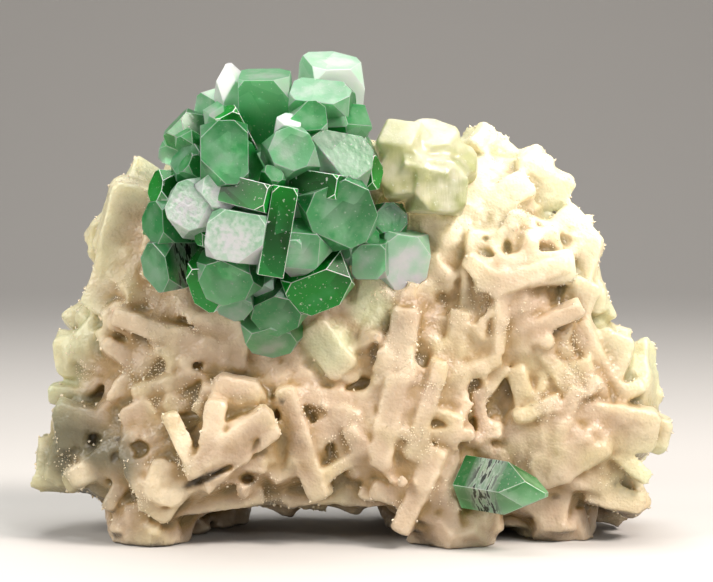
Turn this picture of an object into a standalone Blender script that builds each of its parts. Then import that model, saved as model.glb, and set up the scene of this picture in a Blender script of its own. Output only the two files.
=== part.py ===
"""Apophyllite specimen: green apophyllite crystals grown on a lump of stilbite.

Four bodies make the specimen, as they grew:
  stilbite_matrix             the lump of fused stilbite blades that carries the rest
  apophyllite_cluster         the ball of intergrown green crystals at its upper left
  apophyllite_crest           the pale crystals along its top ridge
  apophyllite_single_crystal  one green crystal lying in a hollow at its lower right

The sizes below are millimetres and degrees. X runs to the right, Y to the back and Z up, and
the lowest facets of the lump lie in the plane Z = 0.
"""

import math
from typing import NamedTuple

import bmesh
import bpy
import numpy as np
from mathutils import Matrix, Vector, noise

MM = 0.001

# --- the lump -------------------------------------------------------------------------------
# Outline of the lump seen from the front, clockwise from its upper left shoulder: (x, z).
LUMP_OUTLINE = (
    (-37.5, 65.0), (-45.0, 64.5), (-47.0, 61.5), (-48.5, 57.0), (-47.3, 54.5), (-48.6, 51.0),
    (-50.3, 47.0), (-49.0, 43.5), (-49.3, 40.5), (-51.5, 37.5), (-54.5, 34.5), (-54.6, 32.0),
    (-51.5, 30.0), (-55.0, 28.0), (-56.8, 24.0), (-56.2, 19.5), (-58.3, 16.5), (-59.4, 13.5),
    (-59.0, 12.0), (-54.0, 9.0), (-48.5, 6.5), (-44.5, 4.0), (-38.0, 0.8), (-33.0, 2.5),
    (-26.0, 5.0), (-19.5, 6.0), (-11.5, 6.0), (-3.0, 8.2), (3.5, 7.2), (8.5, 4.0),
    (16.5, 0.3), (21.0, 0.2), (26.0, 1.8), (31.5, 3.0), (38.0, 0.8), (42.0, 3.2),
    (47.5, 6.7), (53.5, 4.6), (55.0, 6.5), (54.6, 12.5), (57.0, 17.5), (59.7, 20.0),
    (59.4, 23.5), (57.5, 27.0), (54.2, 28.5), (53.0, 32.5), (48.5, 38.0), (46.3, 43.0),
    (47.4, 52.5), (46.3, 55.8), (43.6, 58.2), (43.0, 60.7), (37.8, 61.8), (37.8, 67.8),
    (35.5, 72.0), (30.0, 72.0), (25.3, 71.2), (18.5, 72.3), (10.0, 72.0), (2.0, 73.5),
    (-8.0, 74.0), (-18.0, 73.0), (-28.0, 70.0),
)
LUMP_CENTRE = (-1.5, 37.0)
FRONT_DEPTH = (22.0, 9.0)  # how far the front face stands forward at the base and at the top
BACK_DEPTH = (24.0, 11.0)  # the same for the back face
TOP_HEIGHT = 78.0
EDGE_ROUNDING = 0.42  # 1 gives an ellipse in section, 0 a flat slab with square edges
CORE_SHARE = 0.985  # the core's outline against the lump's; the blades round its rim make it up
RIM_STEPS = 40
FACE_STEPS = 3
POLE_GAP = 0.35  # of a step between the last ring of a face and its pole
ROUGHNESS = 3.0  # height of the broad swellings on both faces
SWELLING = 12.0  # their spacing
SWELLING_APART = 7.0  # keeps the swellings of the two faces unlike each other

# Broad swellings and hollows of the front face: (x, z, height, reach).
FRONT_RELIEF = (
    (-27.0, 17.0, 4.5, 11.0),
    (-50.0, 30.0, -3.0, 10.0),
    (-43.0, 56.0, -2.0, 9.0),
    (-38.0, 17.0, -2.0, 6.0),
    (8.0, 33.0, 3.0, 12.0),
    (31.0, 51.0, 3.5, 9.0),
    (28.0, 11.0, -4.0, 8.0),
    (12.5, 10.0, 3.0, 6.0),
    (47.0, 32.0, 2.5, 9.0),
    (27.0, 25.0, -3.0, 6.0),
)

# Pits between the blades of the front face: (x, z, width, height, depth).
PITS = (
    (13.8, 36.6, 5.0, 5.4, 5.0),
    (28.0, 25.5, 5.0, 4.4, 5.0),
    (17.8, 12.0, 4.4, 7.5, 5.0),
    (-0.5, 29.8, 5.0, 3.2, 4.0),
    (-19.5, 12.2, 2.2, 2.6, 4.0),
    (-14.0, 25.0, 2.4, 4.5, 4.0),
    (-52.0, 18.0, 4.0, 3.0, 4.0),
    (-28.0, 12.6, 9.0, 1.5, 5.0),
)

# Feet, the lumps that carry the specimen: (x, y, width, depth, height). They are cut off
# flat at Z = 0, a third of the way up.
FEET = (
    (-37.5, -10.0, 14.0, 14.0, 16.0),
    (18.5, -12.0, 17.0, 14.0, 17.0),
    (39.0, -4.0, 13.0, 13.0, 15.0),
    (-30.0, 12.0, 18.0, 15.0, 20.0),
    (27.0, 12.0, 21.0, 16.0, 20.0),
)
FOOT_BELOW = 1 / 3  # share of a foot's height that the ground cuts off
FOOT_FACES = 13
FOOT_TURN = 0.2  # how far, in radians, its faces turn from an even spread
FOOT_FLATTEST = 0.86  # how far the flattest face lies from the middle, against an ellipsoid's
GROUND = (160.0, 100.0, 20.0)


class Blade(NamedTuple):
    """A stilbite blade: a flat tablet with cut corners, half sunk in the lump.

    x, z: its middle. turn: its long axis from +X, anticlockwise from the front.
    rise: how far its long axis tips out of the face. roll: its turn about that axis.
    proud: how far its middle stands off the face.
    """

    x: float
    z: float
    turn: float
    length: float
    width: float
    thickness: float
    rise: float = 0.0
    roll: float = 0.0
    proud: float = 0.6


BLADE_CORNER = 0.3  # cut off each corner, against the blade's narrower side
BLADE_SINK = 0.35  # how far the middle of a blade lies below the face, against its thickness

FRONT_BLADES = (
    # left lobe, from its top down
    Blade(-43.0, 60.0, 72, 13.0, 8.5, 4.0, 4, 10),
    Blade(-44.5, 48.5, 80, 11.0, 8.0, 4.5, -6, -12),
    Blade(-49.0, 34.8, 5, 11.5, 8.5, 5.0, 5, 8),
    Blade(-38.0, 40.0, 160, 13.0, 6.0, 3.5, 12, 15),
    Blade(-50.5, 26.6, -8, 11.0, 4.6, 4.0, 0, 14),
    Blade(-46.0, 22.2, -12, 13.0, 4.8, 4.0, 4, -16, 1.2),
    Blade(-54.5, 15.0, 66, 7.5, 5.0, 4.0, 0, 10),
    Blade(-49.5, 12.4, 25, 7.0, 4.8, 4.0, 10, 0),
    Blade(-37.0, 20.5, -62, 12.0, 7.5, 4.0, 0, 22),
    Blade(-42.5, 8.0, -28, 11.0, 5.0, 5.0, 0, -14),
    Blade(-33.5, 11.0, 58, 10.5, 7.5, 4.5, 0, -8, 2.4),
    # the spray of blades low on the left
    Blade(-30.6, 19.0, 112, 12.0, 3.8, 3.6, 8, 20, 3.0),
    Blade(-25.4, 20.6, 82, 13.0, 4.8, 4.2, 8, -10, 2.6),
    Blade(-20.5, 19.2, 38, 13.5, 5.6, 4.4, 6, 14, 2.0),
    Blade(-22.5, 26.4, -8, 9.6, 6.2, 4.6, 0, -12, 1.4),
    Blade(-25.0, 8.6, 9, 15.0, 4.2, 4.6, 0, 20, 2.2),
    Blade(-14.0, 8.8, 2, 13.0, 4.0, 5.0, 0, -14, 1.2),
    # middle
    Blade(-23.2, 35.0, 88, 12.5, 6.0, 4.0, 0, -20, 1.0),
    Blade(-15.6, 28.8, 4, 10.0, 6.0, 4.2, 0, 12, 1.4),
    Blade(-5.0, 36.0, -58, 13.0, 8.5, 4.4, 8, 10, 0.8),
    Blade(-9.0, 19.5, -72, 19.0, 5.2, 4.4, 0, 24, 1.4),
    Blade(-3.4, 22.6, 40, 8.5, 5.4, 4.4, 16, -14, 1.6),
    Blade(-1.4, 26.8, -8, 15.0, 4.4, 4.4, 0, -22, 2.0),
    Blade(3.4, 44.4, 84, 9.5, 6.6, 4.0, -6, 12, 0.8),
    Blade(8.8, 34.5, 84, 17.0, 5.6, 5.0, 4, -18, 1.0),
    Blade(6.6, 23.5, 79, 15.0, 5.2, 5.0, -6, -8, 1.2),
    Blade(2.4, 10.6, 3, 9.5, 6.8, 4.6, 0, 12, 1.0),
    Blade(12.4, 10.8, 64, 15.0, 4.8, 4.6, 0, -20, 1.2),
    Blade(15.8, 41.4, 0, 12.0, 3.4, 5.0, 0, 12, 1.4),
    Blade(18.4, 34.4, 80, 15.5, 4.6, 4.6, 0, -16, 1.2),
    Blade(21.6, 49.0, 85, 16.0, 4.6, 4.4, 0, 22, 1.2),
    Blade(24.4, 28.4, 52, 10.0, 2.4, 5.0, 0, 0, 1.4),
    Blade(23.4, 23.0, 97, 10.0, 2.4, 5.0, 0, 12, 1.4),
    Blade(14.0, 53.0, 76, 13.0, 5.0, 4.0, 0, -14, 0.8),
    # right
    Blade(32.0, 27.4, -68, 10.5, 4.8, 4.6, 0, 18, 1.6),
    Blade(31.4, 50.6, 6, 16.0, 6.8, 4.8, 0, -20, 1.4),
    Blade(34.0, 65.5, 86, 11.0, 7.0, 5.0, 0, 14),
    Blade(40.2, 58.4, 0, 8.0, 5.2, 5.0, 0, -10),
    Blade(40.0, 42.0, 66, 13.0, 7.0, 4.6, 0, 16, 0.8),
    Blade(47.0, 32.4, 68, 12.0, 7.8, 4.8, 0, -16, 0.4),
    Blade(54.6, 27.0, -10, 6.5, 3.4, 4.0, 0, 0, -2.0),
    Blade(53.0, 21.4, -18, 10.5, 7.6, 4.6, 0, 16),
    Blade(50.4, 10.4, -60, 10.5, 6.6, 4.6, 0, -16),
    Blade(40.0, 17.0, 30, 13.0, 7.0, 4.6, 0, 18, 1.0),
    Blade(37.4, 7.4, 80, 9.0, 6.4, 4.8, 0, -12, 1.0),
)

FRONT_FILL = 21  # blades that fill the front face between those above
BACK_FILL = 26
FILL_SPREAD = (48.6, 30.6)  # half the width and height of the ellipse that they fill
GOLDEN_ANGLE = 137.5
FILL_SEED = 11
FILL_SMALLEST = (10.0, 6.5, 5.5)  # length, width and thickness
FILL_LARGEST = (18.0, 10.0, 7.5)
FILL_LEAST = (0.0, -22.0, -38.0, -0.6)  # turn, rise, roll and proud
FILL_MOST = (180.0, 26.0, 38.0, 1.4)
RIM_FILL = 27
RIM_SINK = 1.0  # how far inside the outline the middle of a rim blade lies
RIM_PROUD = -0.4
RIM_RISE = 0.4  # rise of a rim blade, against one on a face
RIM_SPREAD = 0.45  # how far they lie from the middle plane, against the depth of the front
RIM_THIN_FROM = 40.0  # the height above which the lump is as thin as at its top

# --- the apophyllite crystals ---------------------------------------------------------------
PYRAMID_TILT = 60.4  # angle between the crystal's long axis and the normal of a pyramid face
CLUSTER_CENTRE = (-16.5, -13.0, 62.0)
CLUSTER_CORE = 13.0  # radius of the intergrown middle of the ball
CORE_FACETS = (12, 8)  # round it and from pole to pole
PIT_FACETS = (7, 4)
CLEARANCE = 0.3  # gap between a crystal and the pocket that it sits in


class Crystal(NamedTuple):
    """A four-sided apophyllite prism with a flat end and a pyramid face over each prism edge.

    x, y, z: the middle of its end, from its group's origin. heading: the way its long axis
    points, 0 to the front and 90 to the right. lift: how far that axis points up. spin: turn
    about the axis. wide, high: half the distance between opposite prism faces. length: end to
    root. corners: how far down each prism edge its pyramid face starts, in the order upper
    right, upper left, lower left, lower right for a crystal that points to the front.
    """

    x: float
    y: float
    z: float
    heading: float
    lift: float
    spin: float
    wide: float
    high: float
    length: float
    corners: tuple


CLUSTER_CRYSTALS = (
    # top row, from the left
    Crystal(-6.0, -4.0, 26.6, -25, 74, 45, 2.8, 2.8, 13.0, (6.2, 6.2, 6.2, 6.2)),
    Crystal(-8.6, -9.0, 18.6, -45, 55, 20, 2.2, 2.4, 10.0, (3.0, 3.0, 3.0, 3.0)),
    Crystal(0.6, -5.0, 24.6, -4, 76, 2, 4.6, 4.6, 15.0, (2.6, 1.6, 1.4, 3.4)),
    Crystal(13.0, -2.0, 27.2, 14, 68, 6, 4.9, 4.6, 15.0, (4.4, 2.0, 2.6, 4.0)),
    Crystal(10.8, -9.5, 21.6, -6, 46, -9, 5.5, 3.0, 12.0, (2.6, 1.6, 1.8, 3.2)),
    # second row
    Crystal(8.6, -13.6, 17.2, 4, 32, 4, 3.3, 3.1, 11.0, (2.0, 4.4, 2.2, 1.6)),
    Crystal(17.2, -9.0, 17.4, 38, 34, 40, 3.9, 3.9, 13.0, (5.6, 5.0, 5.6, 5.0)),
    Crystal(-6.0, -20.6, 10.8, 4, 14, 0, 4.2, 5.8, 14.0, (3.0, 4.0, 5.6, 2.6)),
    Crystal(14.0, -15.4, 10.4, 16, 22, -11, 6.4, 4.2, 14.0, (3.0, 4.0, 9.4, 3.4)),
    Crystal(5.8, -19.4, 11.4, 4, 20, 22, 4.0, 4.0, 12.0, (3.4, 3.4, 3.4, 3.4)),
    Crystal(-13.8, -9.5, 9.4, -44, 36, 10, 3.3, 3.3, 12.0, (2.8, 2.8, 3.4, 2.8)),
    # third row
    Crystal(-19.2, -7.6, 4.2, -64, 14, 12, 3.2, 3.3, 12.0, (3.2, 2.6, 3.4, 2.6)),
    Crystal(-12.6, -18.8, 1.4, -22, 6, 18, 4.5, 4.5, 13.0, (4.2, 4.6, 4.4, 4.8)),
    Crystal(-6.4, -20.2, 4.2, 12, 6, 36, 3.4, 3.6, 12.0, (3.0, 2.6, 3.0, 2.6)),
    Crystal(2.4, -21.2, 2.4, 66, -12, -8, 3.0, 2.5, 9.0, (1.6, 1.0, 1.6, 1.2)),
    Crystal(14.6, -17.0, 4.4, 70, -8, -4, 3.0, 2.2, 9.0, (1.4, 1.0, 1.2, 1.4)),
    Crystal(21.0, -7.8, 7.0, 66, 2, 10, 2.6, 3.1, 12.0, (3.2, 2.2, 2.2, 3.0)),
    # fourth row
    Crystal(-19.6, -9.4, -2.2, -52, 2, 8, 3.4, 3.9, 12.0, (2.4, 3.2, 4.0, 2.4)),
    Crystal(-4.2, -22.6, -4.0, -9, 0, -9, 5.2, 4.5, 14.0, (2.0, 3.6, 3.2, 4.8)),
    Crystal(4.6, -20.4, 4.8, 88, 80, 10, 2.0, 2.3, 16.0, (1.0, 1.4, 1.2, 1.4)),
    Crystal(7.0, -19.8, -6.6, 2, -4, 40, 4.4, 4.4, 13.0, (5.4, 5.0, 5.4, 4.6)),
    Crystal(14.8, -18.0, -0.6, 20, -4, 22, 6.2, 6.0, 15.0, (4.4, 3.6, 7.0, 4.6)),
    Crystal(23.6, -3.0, -1.4, 12, 10, 2, 3.0, 2.8, 10.0, (3.0, 2.6, 1.6, 2.0)),
    Crystal(20.2, -8.4, -4.8, 42, 0, 4, 1.6, 1.3, 13.0, (0.8, 0.8, 0.8, 0.8)),
    # fifth row and the underside
    Crystal(-19.2, -10.0, -10.2, -44, -10, 4, 3.4, 4.6, 13.0, (3.4, 3.4, 4.0, 3.0)),
    Crystal(-5.8, -19.4, -12.2, -8, -20, 18, 4.7, 4.2, 13.0, (5.0, 3.0, 3.0, 3.4)),
    Crystal(-10.2, -16.0, -14.0, -22, -28, 6, 2.5, 4.6, 12.0, (2.4, 2.4, 2.8, 2.2)),
    Crystal(-4.4, -15.0, -17.4, 2, -38, 12, 3.2, 2.8, 11.0, (2.4, 2.4, 3.0, 3.0)),
    Crystal(10.8, -15.6, -14.2, 10, -26, 24, 5.9, 4.0, 13.0, (4.2, 2.2, 3.4, 4.6)),
    Crystal(2.8, -13.6, -18.8, -6, -34, 30, 4.3, 4.0, 12.0, (2.4, 2.8, 2.4, 2.8)),
    Crystal(1.8, -9.2, -24.0, 0, -46, 24, 4.4, 4.0, 12.0, (3.6, 3.0, 3.6, 3.0)),
    Crystal(19.4, -9.4, -9.2, -6, -6, 0, 3.1, 3.2, 13.0, (1.2, 2.2, 1.2, 2.0)),
    Crystal(26.2, -3.6, -9.8, 14, -10, -8, 4.5, 5.2, 11.0, (4.0, 2.6, 4.2, 3.8)),
    # over the top and behind
    Crystal(-16.0, 0.0, 16.0, -80, 44, 30, 3.4, 3.6, 14.0, (3.4, 3.4, 3.4, 3.4)),
    Crystal(-9.0, 5.0, 21.0, -140, 60, 10, 3.8, 3.6, 14.0, (4.4, 3.0, 4.0, 3.2)),
    Crystal(-14.0, 9.0, 14.5, -130, 38, 38, 3.4, 3.4, 13.0, (3.0, 3.8, 3.0, 3.8)),
    Crystal(0.5, 7.5, 21.5, 172, 56, 24, 4.2, 4.0, 14.0, (6.0, 6.0, 6.0, 6.0)),
    Crystal(-5.0, 13.0, 15.0, -165, 34, 4, 3.6, 3.6, 13.0, (3.2, 2.6, 3.2, 2.6)),
    Crystal(9.5, 6.5, 20.0, 150, 58, 40, 3.6, 3.8, 14.0, (3.4, 3.4, 3.4, 3.4)),
    Crystal(7.0, 12.5, 15.0, 165, 32, 14, 3.4, 3.6, 13.0, (5.0, 4.4, 5.0, 4.4)),
    Crystal(17.0, 4.0, 17.0, 110, 46, 12, 3.6, 3.6, 14.0, (3.0, 4.0, 3.0, 4.0)),
    Crystal(20.0, -1.0, 11.5, 84, 26, 34, 3.2, 3.2, 13.0, (2.8, 2.8, 2.8, 2.8)),
)

CREST_ORIGIN = (13.0, -12.0, 70.0)
CREST_CRYSTALS = (
    Crystal(-4.5, -2.5, 6.4, -16, 44, 36, 4.6, 4.4, 15.0, (6.4, 5.4, 5.0, 5.6)),
    Crystal(2.2, 0.5, 6.2, 8, 58, 12, 4.6, 4.2, 14.0, (4.0, 3.4, 3.0, 4.4)),
    Crystal(7.0, -0.5, 1.6, 30, 34, 20, 3.8, 3.6, 13.0, (3.4, 2.8, 3.0, 3.8)),
    Crystal(-4.0, -5.4, -0.9, -10, 10, 8, 4.2, 4.2, 13.0, (3.0, 3.6, 3.0, 3.0)),
    Crystal(3.4, -5.6, -3.6, 12, 6, -6, 4.8, 4.8, 13.0, (4.0, 3.0, 3.6, 3.0)),
    Crystal(0.0, 7.0, 5.4, 176, 40, 18, 4.2, 4.2, 14.0, (4.0, 4.0, 4.0, 4.0)),
)

SINGLE_ORIGIN = (35.0, -26.0, 11.0)
SINGLE_CRYSTAL = Crystal(0.0, 0.0, 0.0, 64, -5, 45, 3.4, 3.4, 18.5, (8.0, 7.4, 8.0, 7.4))

ORIGIN_SHIFT = (0.5, 5.5, 0.0)  # brings the middle of the whole specimen over the origin

TOUCHING = 1e-6  # planes and points nearer than this meet
SAME_POINT = 5  # decimal places in which two corners of a convex solid agree
FLAT_ANGLE = 0.2  # faces that differ by less, in degrees, are one face
MERGE = 0.001  # corners of a joined body nearer than this are one corner
CHIP = 1.0  # volume in cubic millimetres under which a loose piece is dropped


def clear_scene():
    """Remove every object of the scene."""
    for old in list(bpy.data.objects):
        bpy.data.objects.remove(old)


def mineral(name, colour, roughness, transmission=0.0, ior=1.5):
    """A Principled material, see-through where transmission is above zero."""
    material = bpy.data.materials.new(name)
    material.use_nodes = True
    shader = material.node_tree.nodes["Principled BSDF"]
    shader.inputs["Base Color"].default_value = (*colour, 1.0)
    shader.inputs["Roughness"].default_value = roughness
    shader.inputs["Metallic"].default_value = 0.0
    shader.inputs["Transmission Weight"].default_value = transmission
    shader.inputs["IOR"].default_value = ior
    return material


def mesh_object(name, bm, material=None):
    """Put a bmesh, in millimetres, into the scene as a named object in metres."""
    bmesh.ops.scale(bm, vec=(MM, MM, MM), verts=bm.verts)
    bmesh.ops.recalc_face_normals(bm, faces=bm.faces)
    mesh = bpy.data.meshes.new(name)
    bm.to_mesh(mesh)
    bm.free()
    if material is not None:
        mesh.materials.append(material)
    made = bpy.data.objects.new(name, mesh)
    bpy.context.scene.collection.objects.link(made)
    return made


def convex_solid(normals, distances, middle):
    """The solid that lies behind all the given planes.

    A plane is a unit normal and its distance from middle. The corners of the solid are the
    points where three planes meet and that no other plane cuts away.
    """
    corners = []
    count = len(normals)
    for i in range(count):
        for j in range(i + 1, count):
            for k in range(j + 1, count):
                three = normals[[i, j, k]]
                if abs(np.linalg.det(three)) < TOUCHING:
                    continue
                point = np.linalg.solve(three, distances[[i, j, k]])
                if (normals @ point <= distances + TOUCHING).all():
                    corners.append(point)
    bm = bmesh.new()
    for point in np.unique(np.round(corners, SAME_POINT), axis=0):
        bm.verts.new(point + middle)
    bmesh.ops.convex_hull(bm, input=bm.verts)
    flat = math.radians(FLAT_ANGLE)
    bmesh.ops.dissolve_limit(bm, angle_limit=flat, verts=bm.verts, edges=bm.edges)
    return bm


def axes_of(heading, lift, spin):
    """Unit vectors of a crystal: its two prism directions and its long axis."""
    turned, raised, spun = (math.radians(angle) for angle in (heading, lift, spin))
    long_axis = np.array(
        (
            math.sin(turned) * math.cos(raised),
            -math.cos(turned) * math.cos(raised),
            math.sin(raised),
        )
    )
    level = np.array((math.cos(turned), math.sin(turned), 0.0))
    upright = np.cross(long_axis, level)
    first = math.cos(spun) * level + math.sin(spun) * upright
    return first, np.cross(long_axis, first), long_axis


def crystal_solid(crystal, origin, grow=0.0):
    """An apophyllite crystal as a convex solid, its faces moved out by grow."""
    first, second, long_axis = axes_of(crystal.heading, crystal.lift, crystal.spin)
    normals = [first, -first, second, -second, long_axis, -long_axis]
    distances = [crystal.wide, crystal.wide, crystal.high, crystal.high, 0.0, crystal.length]
    tilt = math.radians(PYRAMID_TILT)
    corner_signs = ((1, 1), (-1, 1), (-1, -1), (1, -1))
    for (side, over), depth in zip(corner_signs, crystal.corners):
        slope = math.sin(tilt) / math.sqrt(2)
        normals.append(slope * (side * first + over * second) + math.cos(tilt) * long_axis)
        distances.append(slope * (crystal.wide + crystal.high) - math.cos(tilt) * depth)
    middle = np.array(origin) + (crystal.x, crystal.y, crystal.z)
    return convex_solid(np.array(normals), np.array(distances) + grow, middle)


def lump_rim():
    """Points spaced evenly along the outline of the lump."""
    outline = np.array(LUMP_OUTLINE)
    closed = np.vstack((outline, outline[:1]))
    run = np.concatenate(([0.0], np.cumsum(np.linalg.norm(np.diff(closed, axis=0), axis=1))))
    at = np.linspace(0.0, run[-1], RIM_STEPS, endpoint=False)
    return np.column_stack((np.interp(at, run, closed[:, 0]), np.interp(at, run, closed[:, 1])))


def swelling(x, z, side):
    """Height of the broad swellings at a point of the front (-1) or back (1) face."""
    return ROUGHNESS * noise.noise(Vector((x / SWELLING, SWELLING_APART * side, z / SWELLING)))


def face_depth(x, z, side):
    """How far a face of the lump stands from its middle plane at full depth."""
    base, top = FRONT_DEPTH if side < 0 else BACK_DEPTH
    share = min(max(z / TOP_HEIGHT, 0.0), 1.0)
    depth = base + (top - base) * share + swelling(x, z, side)
    if side < 0:
        for at_x, at_z, height, reach in FRONT_RELIEF:
            away = (x - at_x) ** 2 + (z - at_z) ** 2
            depth += height * math.exp(-away / reach**2)
    return depth


def inside_share(x, z, rim):
    """Where a point lies between the middle of the lump (0) and its outline (1)."""
    centre = np.array(LUMP_CENTRE)
    offset = np.array((x, z)) - centre
    angles = np.arctan2(rim[:, 1] - centre[1], rim[:, 0] - centre[0])
    order = np.argsort(angles)
    radii = np.linalg.norm(rim - centre, axis=1)
    angle = math.atan2(offset[1], offset[0])
    radius = np.interp(angle, angles[order], radii[order], period=2 * math.pi)
    return float(np.linalg.norm(offset) / radius)


def face_height(x, z, side, rim):
    """The y of the lump's surface at (x, z) on its front (-1) or back (1) face."""
    share = min(inside_share(x, z, rim), 1.0)
    bulge = math.sqrt(max(0.0, 1.0 - share ** (2.0 / EDGE_ROUNDING)))
    return side * face_depth(x, z, side) * bulge


def lump_core(rim):
    """The lump without its blades: rings of its outline drawn in towards two poles."""
    centre = np.array(LUMP_CENTRE)
    bm = bmesh.new()
    rings = []
    for step in range(-FACE_STEPS, FACE_STEPS + 1):
        angle = 0.5 * math.pi * step / (FACE_STEPS + POLE_GAP)
        side = -1 if step < 0 else 1
        ring = []
        for point in rim:
            drawn_in = CORE_SHARE * math.cos(angle) ** EDGE_ROUNDING
            x, z = centre + (point - centre) * drawn_in
            y = side * abs(math.sin(angle)) * face_depth(x, z, side)
            ring.append(bm.verts.new((x, y, z)))
        rings.append(ring)
    for lower, upper in zip(rings, rings[1:]):
        for i in range(RIM_STEPS):
            j = (i + 1) % RIM_STEPS
            bm.faces.new((lower[i], lower[j], upper[j], upper[i]))
    for ring, side in ((rings[0], -1), (rings[-1], 1)):
        pole = bm.verts.new((centre[0], side * face_depth(*centre, side), centre[1]))
        for i in range(RIM_STEPS):
            bm.faces.new((ring[i], ring[(i + 1) % RIM_STEPS], pole))
    return bm


def blade_solid(blade, middle, outward, level):
    """A stilbite blade as a convex solid.

    It lies flat on a surface that faces outward, its long axis turned from the direction
    level, and middle is the point of that surface under its middle.
    """
    turned, risen, rolled = (math.radians(a) for a in (blade.turn, blade.rise, blade.roll))
    flat = math.cos(turned) * level + math.sin(turned) * np.cross(outward, level)
    across = np.cross(outward, flat)
    long_axis = math.cos(risen) * flat + math.sin(risen) * outward
    normal = np.cross(long_axis, across)
    broad = math.cos(rolled) * across + math.sin(rolled) * normal
    normal = np.cross(long_axis, broad)
    half = np.array((blade.length, blade.width, blade.thickness)) / 2
    cut = BLADE_CORNER * min(blade.width, blade.length) / math.sqrt(2)
    normals = [long_axis, -long_axis, broad, -broad, normal, -normal]
    distances = [half[0], half[0], half[1], half[1], half[2], half[2]]
    for along in (-1, 1):
        for over in (-1, 1):
            normals.append((along * long_axis + over * broad) / math.sqrt(2))
            distances.append((half[0] + half[1]) / math.sqrt(2) - cut)
    centre = np.array(middle) + (blade.proud - BLADE_SINK * blade.thickness) * outward
    return convex_solid(np.array(normals), np.array(distances), centre)


def blade_on_face(blade, side, rim):
    """A blade on the front (-1) or back (1) face, its turn anticlockwise from the front."""
    middle = (blade.x, face_height(blade.x, blade.z, side, rim), blade.z)
    level = np.array((-float(side), 0.0, 0.0))
    turn = blade.turn if side < 0 else 180.0 - blade.turn
    return blade_solid(blade._replace(turn=turn), middle, np.array((0.0, float(side), 0.0)), level)


def random_blade(draw, x, z):
    """A blade of random size and lie at (x, z)."""
    turn, rise, roll, proud = draw.uniform(FILL_LEAST, FILL_MOST)
    length, width, thickness = draw.uniform(FILL_SMALLEST, FILL_LARGEST)
    return Blade(x, z, turn, length, width, thickness, rise, roll, proud)


def fill_blades(rim):
    """The blades that fill the front, the back and the rim, the same ones on every run."""
    draw = np.random.default_rng(FILL_SEED)
    centre = np.array(LUMP_CENTRE)
    shapes = []
    for side, count in ((-1, FRONT_FILL), (1, BACK_FILL)):
        for index in range(count):
            share = math.sqrt((index + 0.5) / count)
            angle = index * math.radians(GOLDEN_ANGLE)
            x, z = centre + share * np.array(FILL_SPREAD) * (math.cos(angle), math.sin(angle))
            shapes.append(blade_on_face(random_blade(draw, x, z), side, rim))
    for index in range(RIM_FILL):
        point = rim[index * RIM_STEPS // RIM_FILL]
        out = (point - centre) / np.linalg.norm(point - centre)
        outward = np.array((out[0], 0.0, out[1]))
        x, z = point - RIM_SINK * out
        depth = FRONT_DEPTH[0] if z < RIM_THIN_FROM else FRONT_DEPTH[1]
        y = draw.uniform(-RIM_SPREAD, RIM_SPREAD) * depth
        blade = random_blade(draw, x, z)
        blade = blade._replace(proud=RIM_PROUD, rise=RIM_RISE * blade.rise)
        shapes.append(blade_solid(blade, (x, y, z), outward, np.array((0.0, 1.0, 0.0))))
    return shapes


def ellipsoid(middle, size, facets):
    """An ellipsoid of the given full size, with so many facets round it and up it."""
    bm = bmesh.new()
    bmesh.ops.create_uvsphere(bm, u_segments=facets[0], v_segments=facets[1], radius=0.5)
    bmesh.ops.scale(bm, vec=size, verts=bm.verts)
    bmesh.ops.translate(bm, vec=middle, verts=bm.verts)
    return bm


def foot_solid(draw, x, y, width, depth, height):
    """A foot: flat faces spread round an ellipsoid, the lowest part of it below Z = 0."""
    half = np.array((width, depth, height)) / 2
    normals = [np.array((0.0, 0.0, -1.0))]
    distances = [half[2]]
    for index in range(FOOT_FACES):
        z = 1.0 - 2.0 * (index + 0.5) / FOOT_FACES
        angle = index * math.radians(GOLDEN_ANGLE) + draw.uniform(-FOOT_TURN, FOOT_TURN)
        level = math.sqrt(1.0 - z * z)
        normal = np.array((level * math.cos(angle), level * math.sin(angle), z))
        normals.append(normal)
        distances.append(np.linalg.norm(normal * half) * draw.uniform(FOOT_FLATTEST, 1.0))
    middle = np.array((x, y, (0.5 - FOOT_BELOW) * height))
    return convex_solid(np.array(normals), np.array(distances), middle)


def helper(bm, collection):
    """Add a helper shape to a collection that a Boolean reads."""
    made = mesh_object("helper", bm)
    bpy.context.scene.collection.objects.unlink(made)
    collection.objects.link(made)
    made.hide_render = True
    made.display_type = "WIRE"
    return made


def combined(base, operation, shapes):
    """Join shapes to an object, or cut them from it, and keep the result as its mesh."""
    collection = bpy.data.collections.new("shapes")
    bpy.context.scene.collection.children.link(collection)
    made = [helper(bm, collection) for bm in shapes]
    boolean = base.modifiers.new("shapes", "BOOLEAN")
    boolean.operation = operation
    boolean.operand_type = "COLLECTION"
    boolean.collection = collection
    boolean.solver = "EXACT"
    bpy.context.view_layer.update()
    graph = bpy.context.evaluated_depsgraph_get()
    result = bpy.data.meshes.new_from_object(base.evaluated_get(graph))
    base.modifiers.clear()
    base.data = result
    for shape in made:
        bpy.data.objects.remove(shape)
    bpy.data.collections.remove(collection)


def shells_of(bm):
    """The faces of a mesh, sorted into its separate surfaces."""
    waiting = set(bm.faces)
    shells = []
    while waiting:
        shell = [waiting.pop()]
        for face in shell:
            for edge in face.edges:
                for other in edge.link_faces:
                    if other in waiting:
                        waiting.remove(other)
                        shell.append(other)
        shells.append(shell)
    return shells


def volume_inside(shell):
    """Volume that a closed surface encloses, below zero for a sealed hollow."""
    volume = 0.0
    for face in shell:
        first, *others = (vert.co for vert in face.verts)
        for second, third in zip(others, others[1:]):
            volume += first.dot(second.cross(third)) / 6
    return volume


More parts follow.
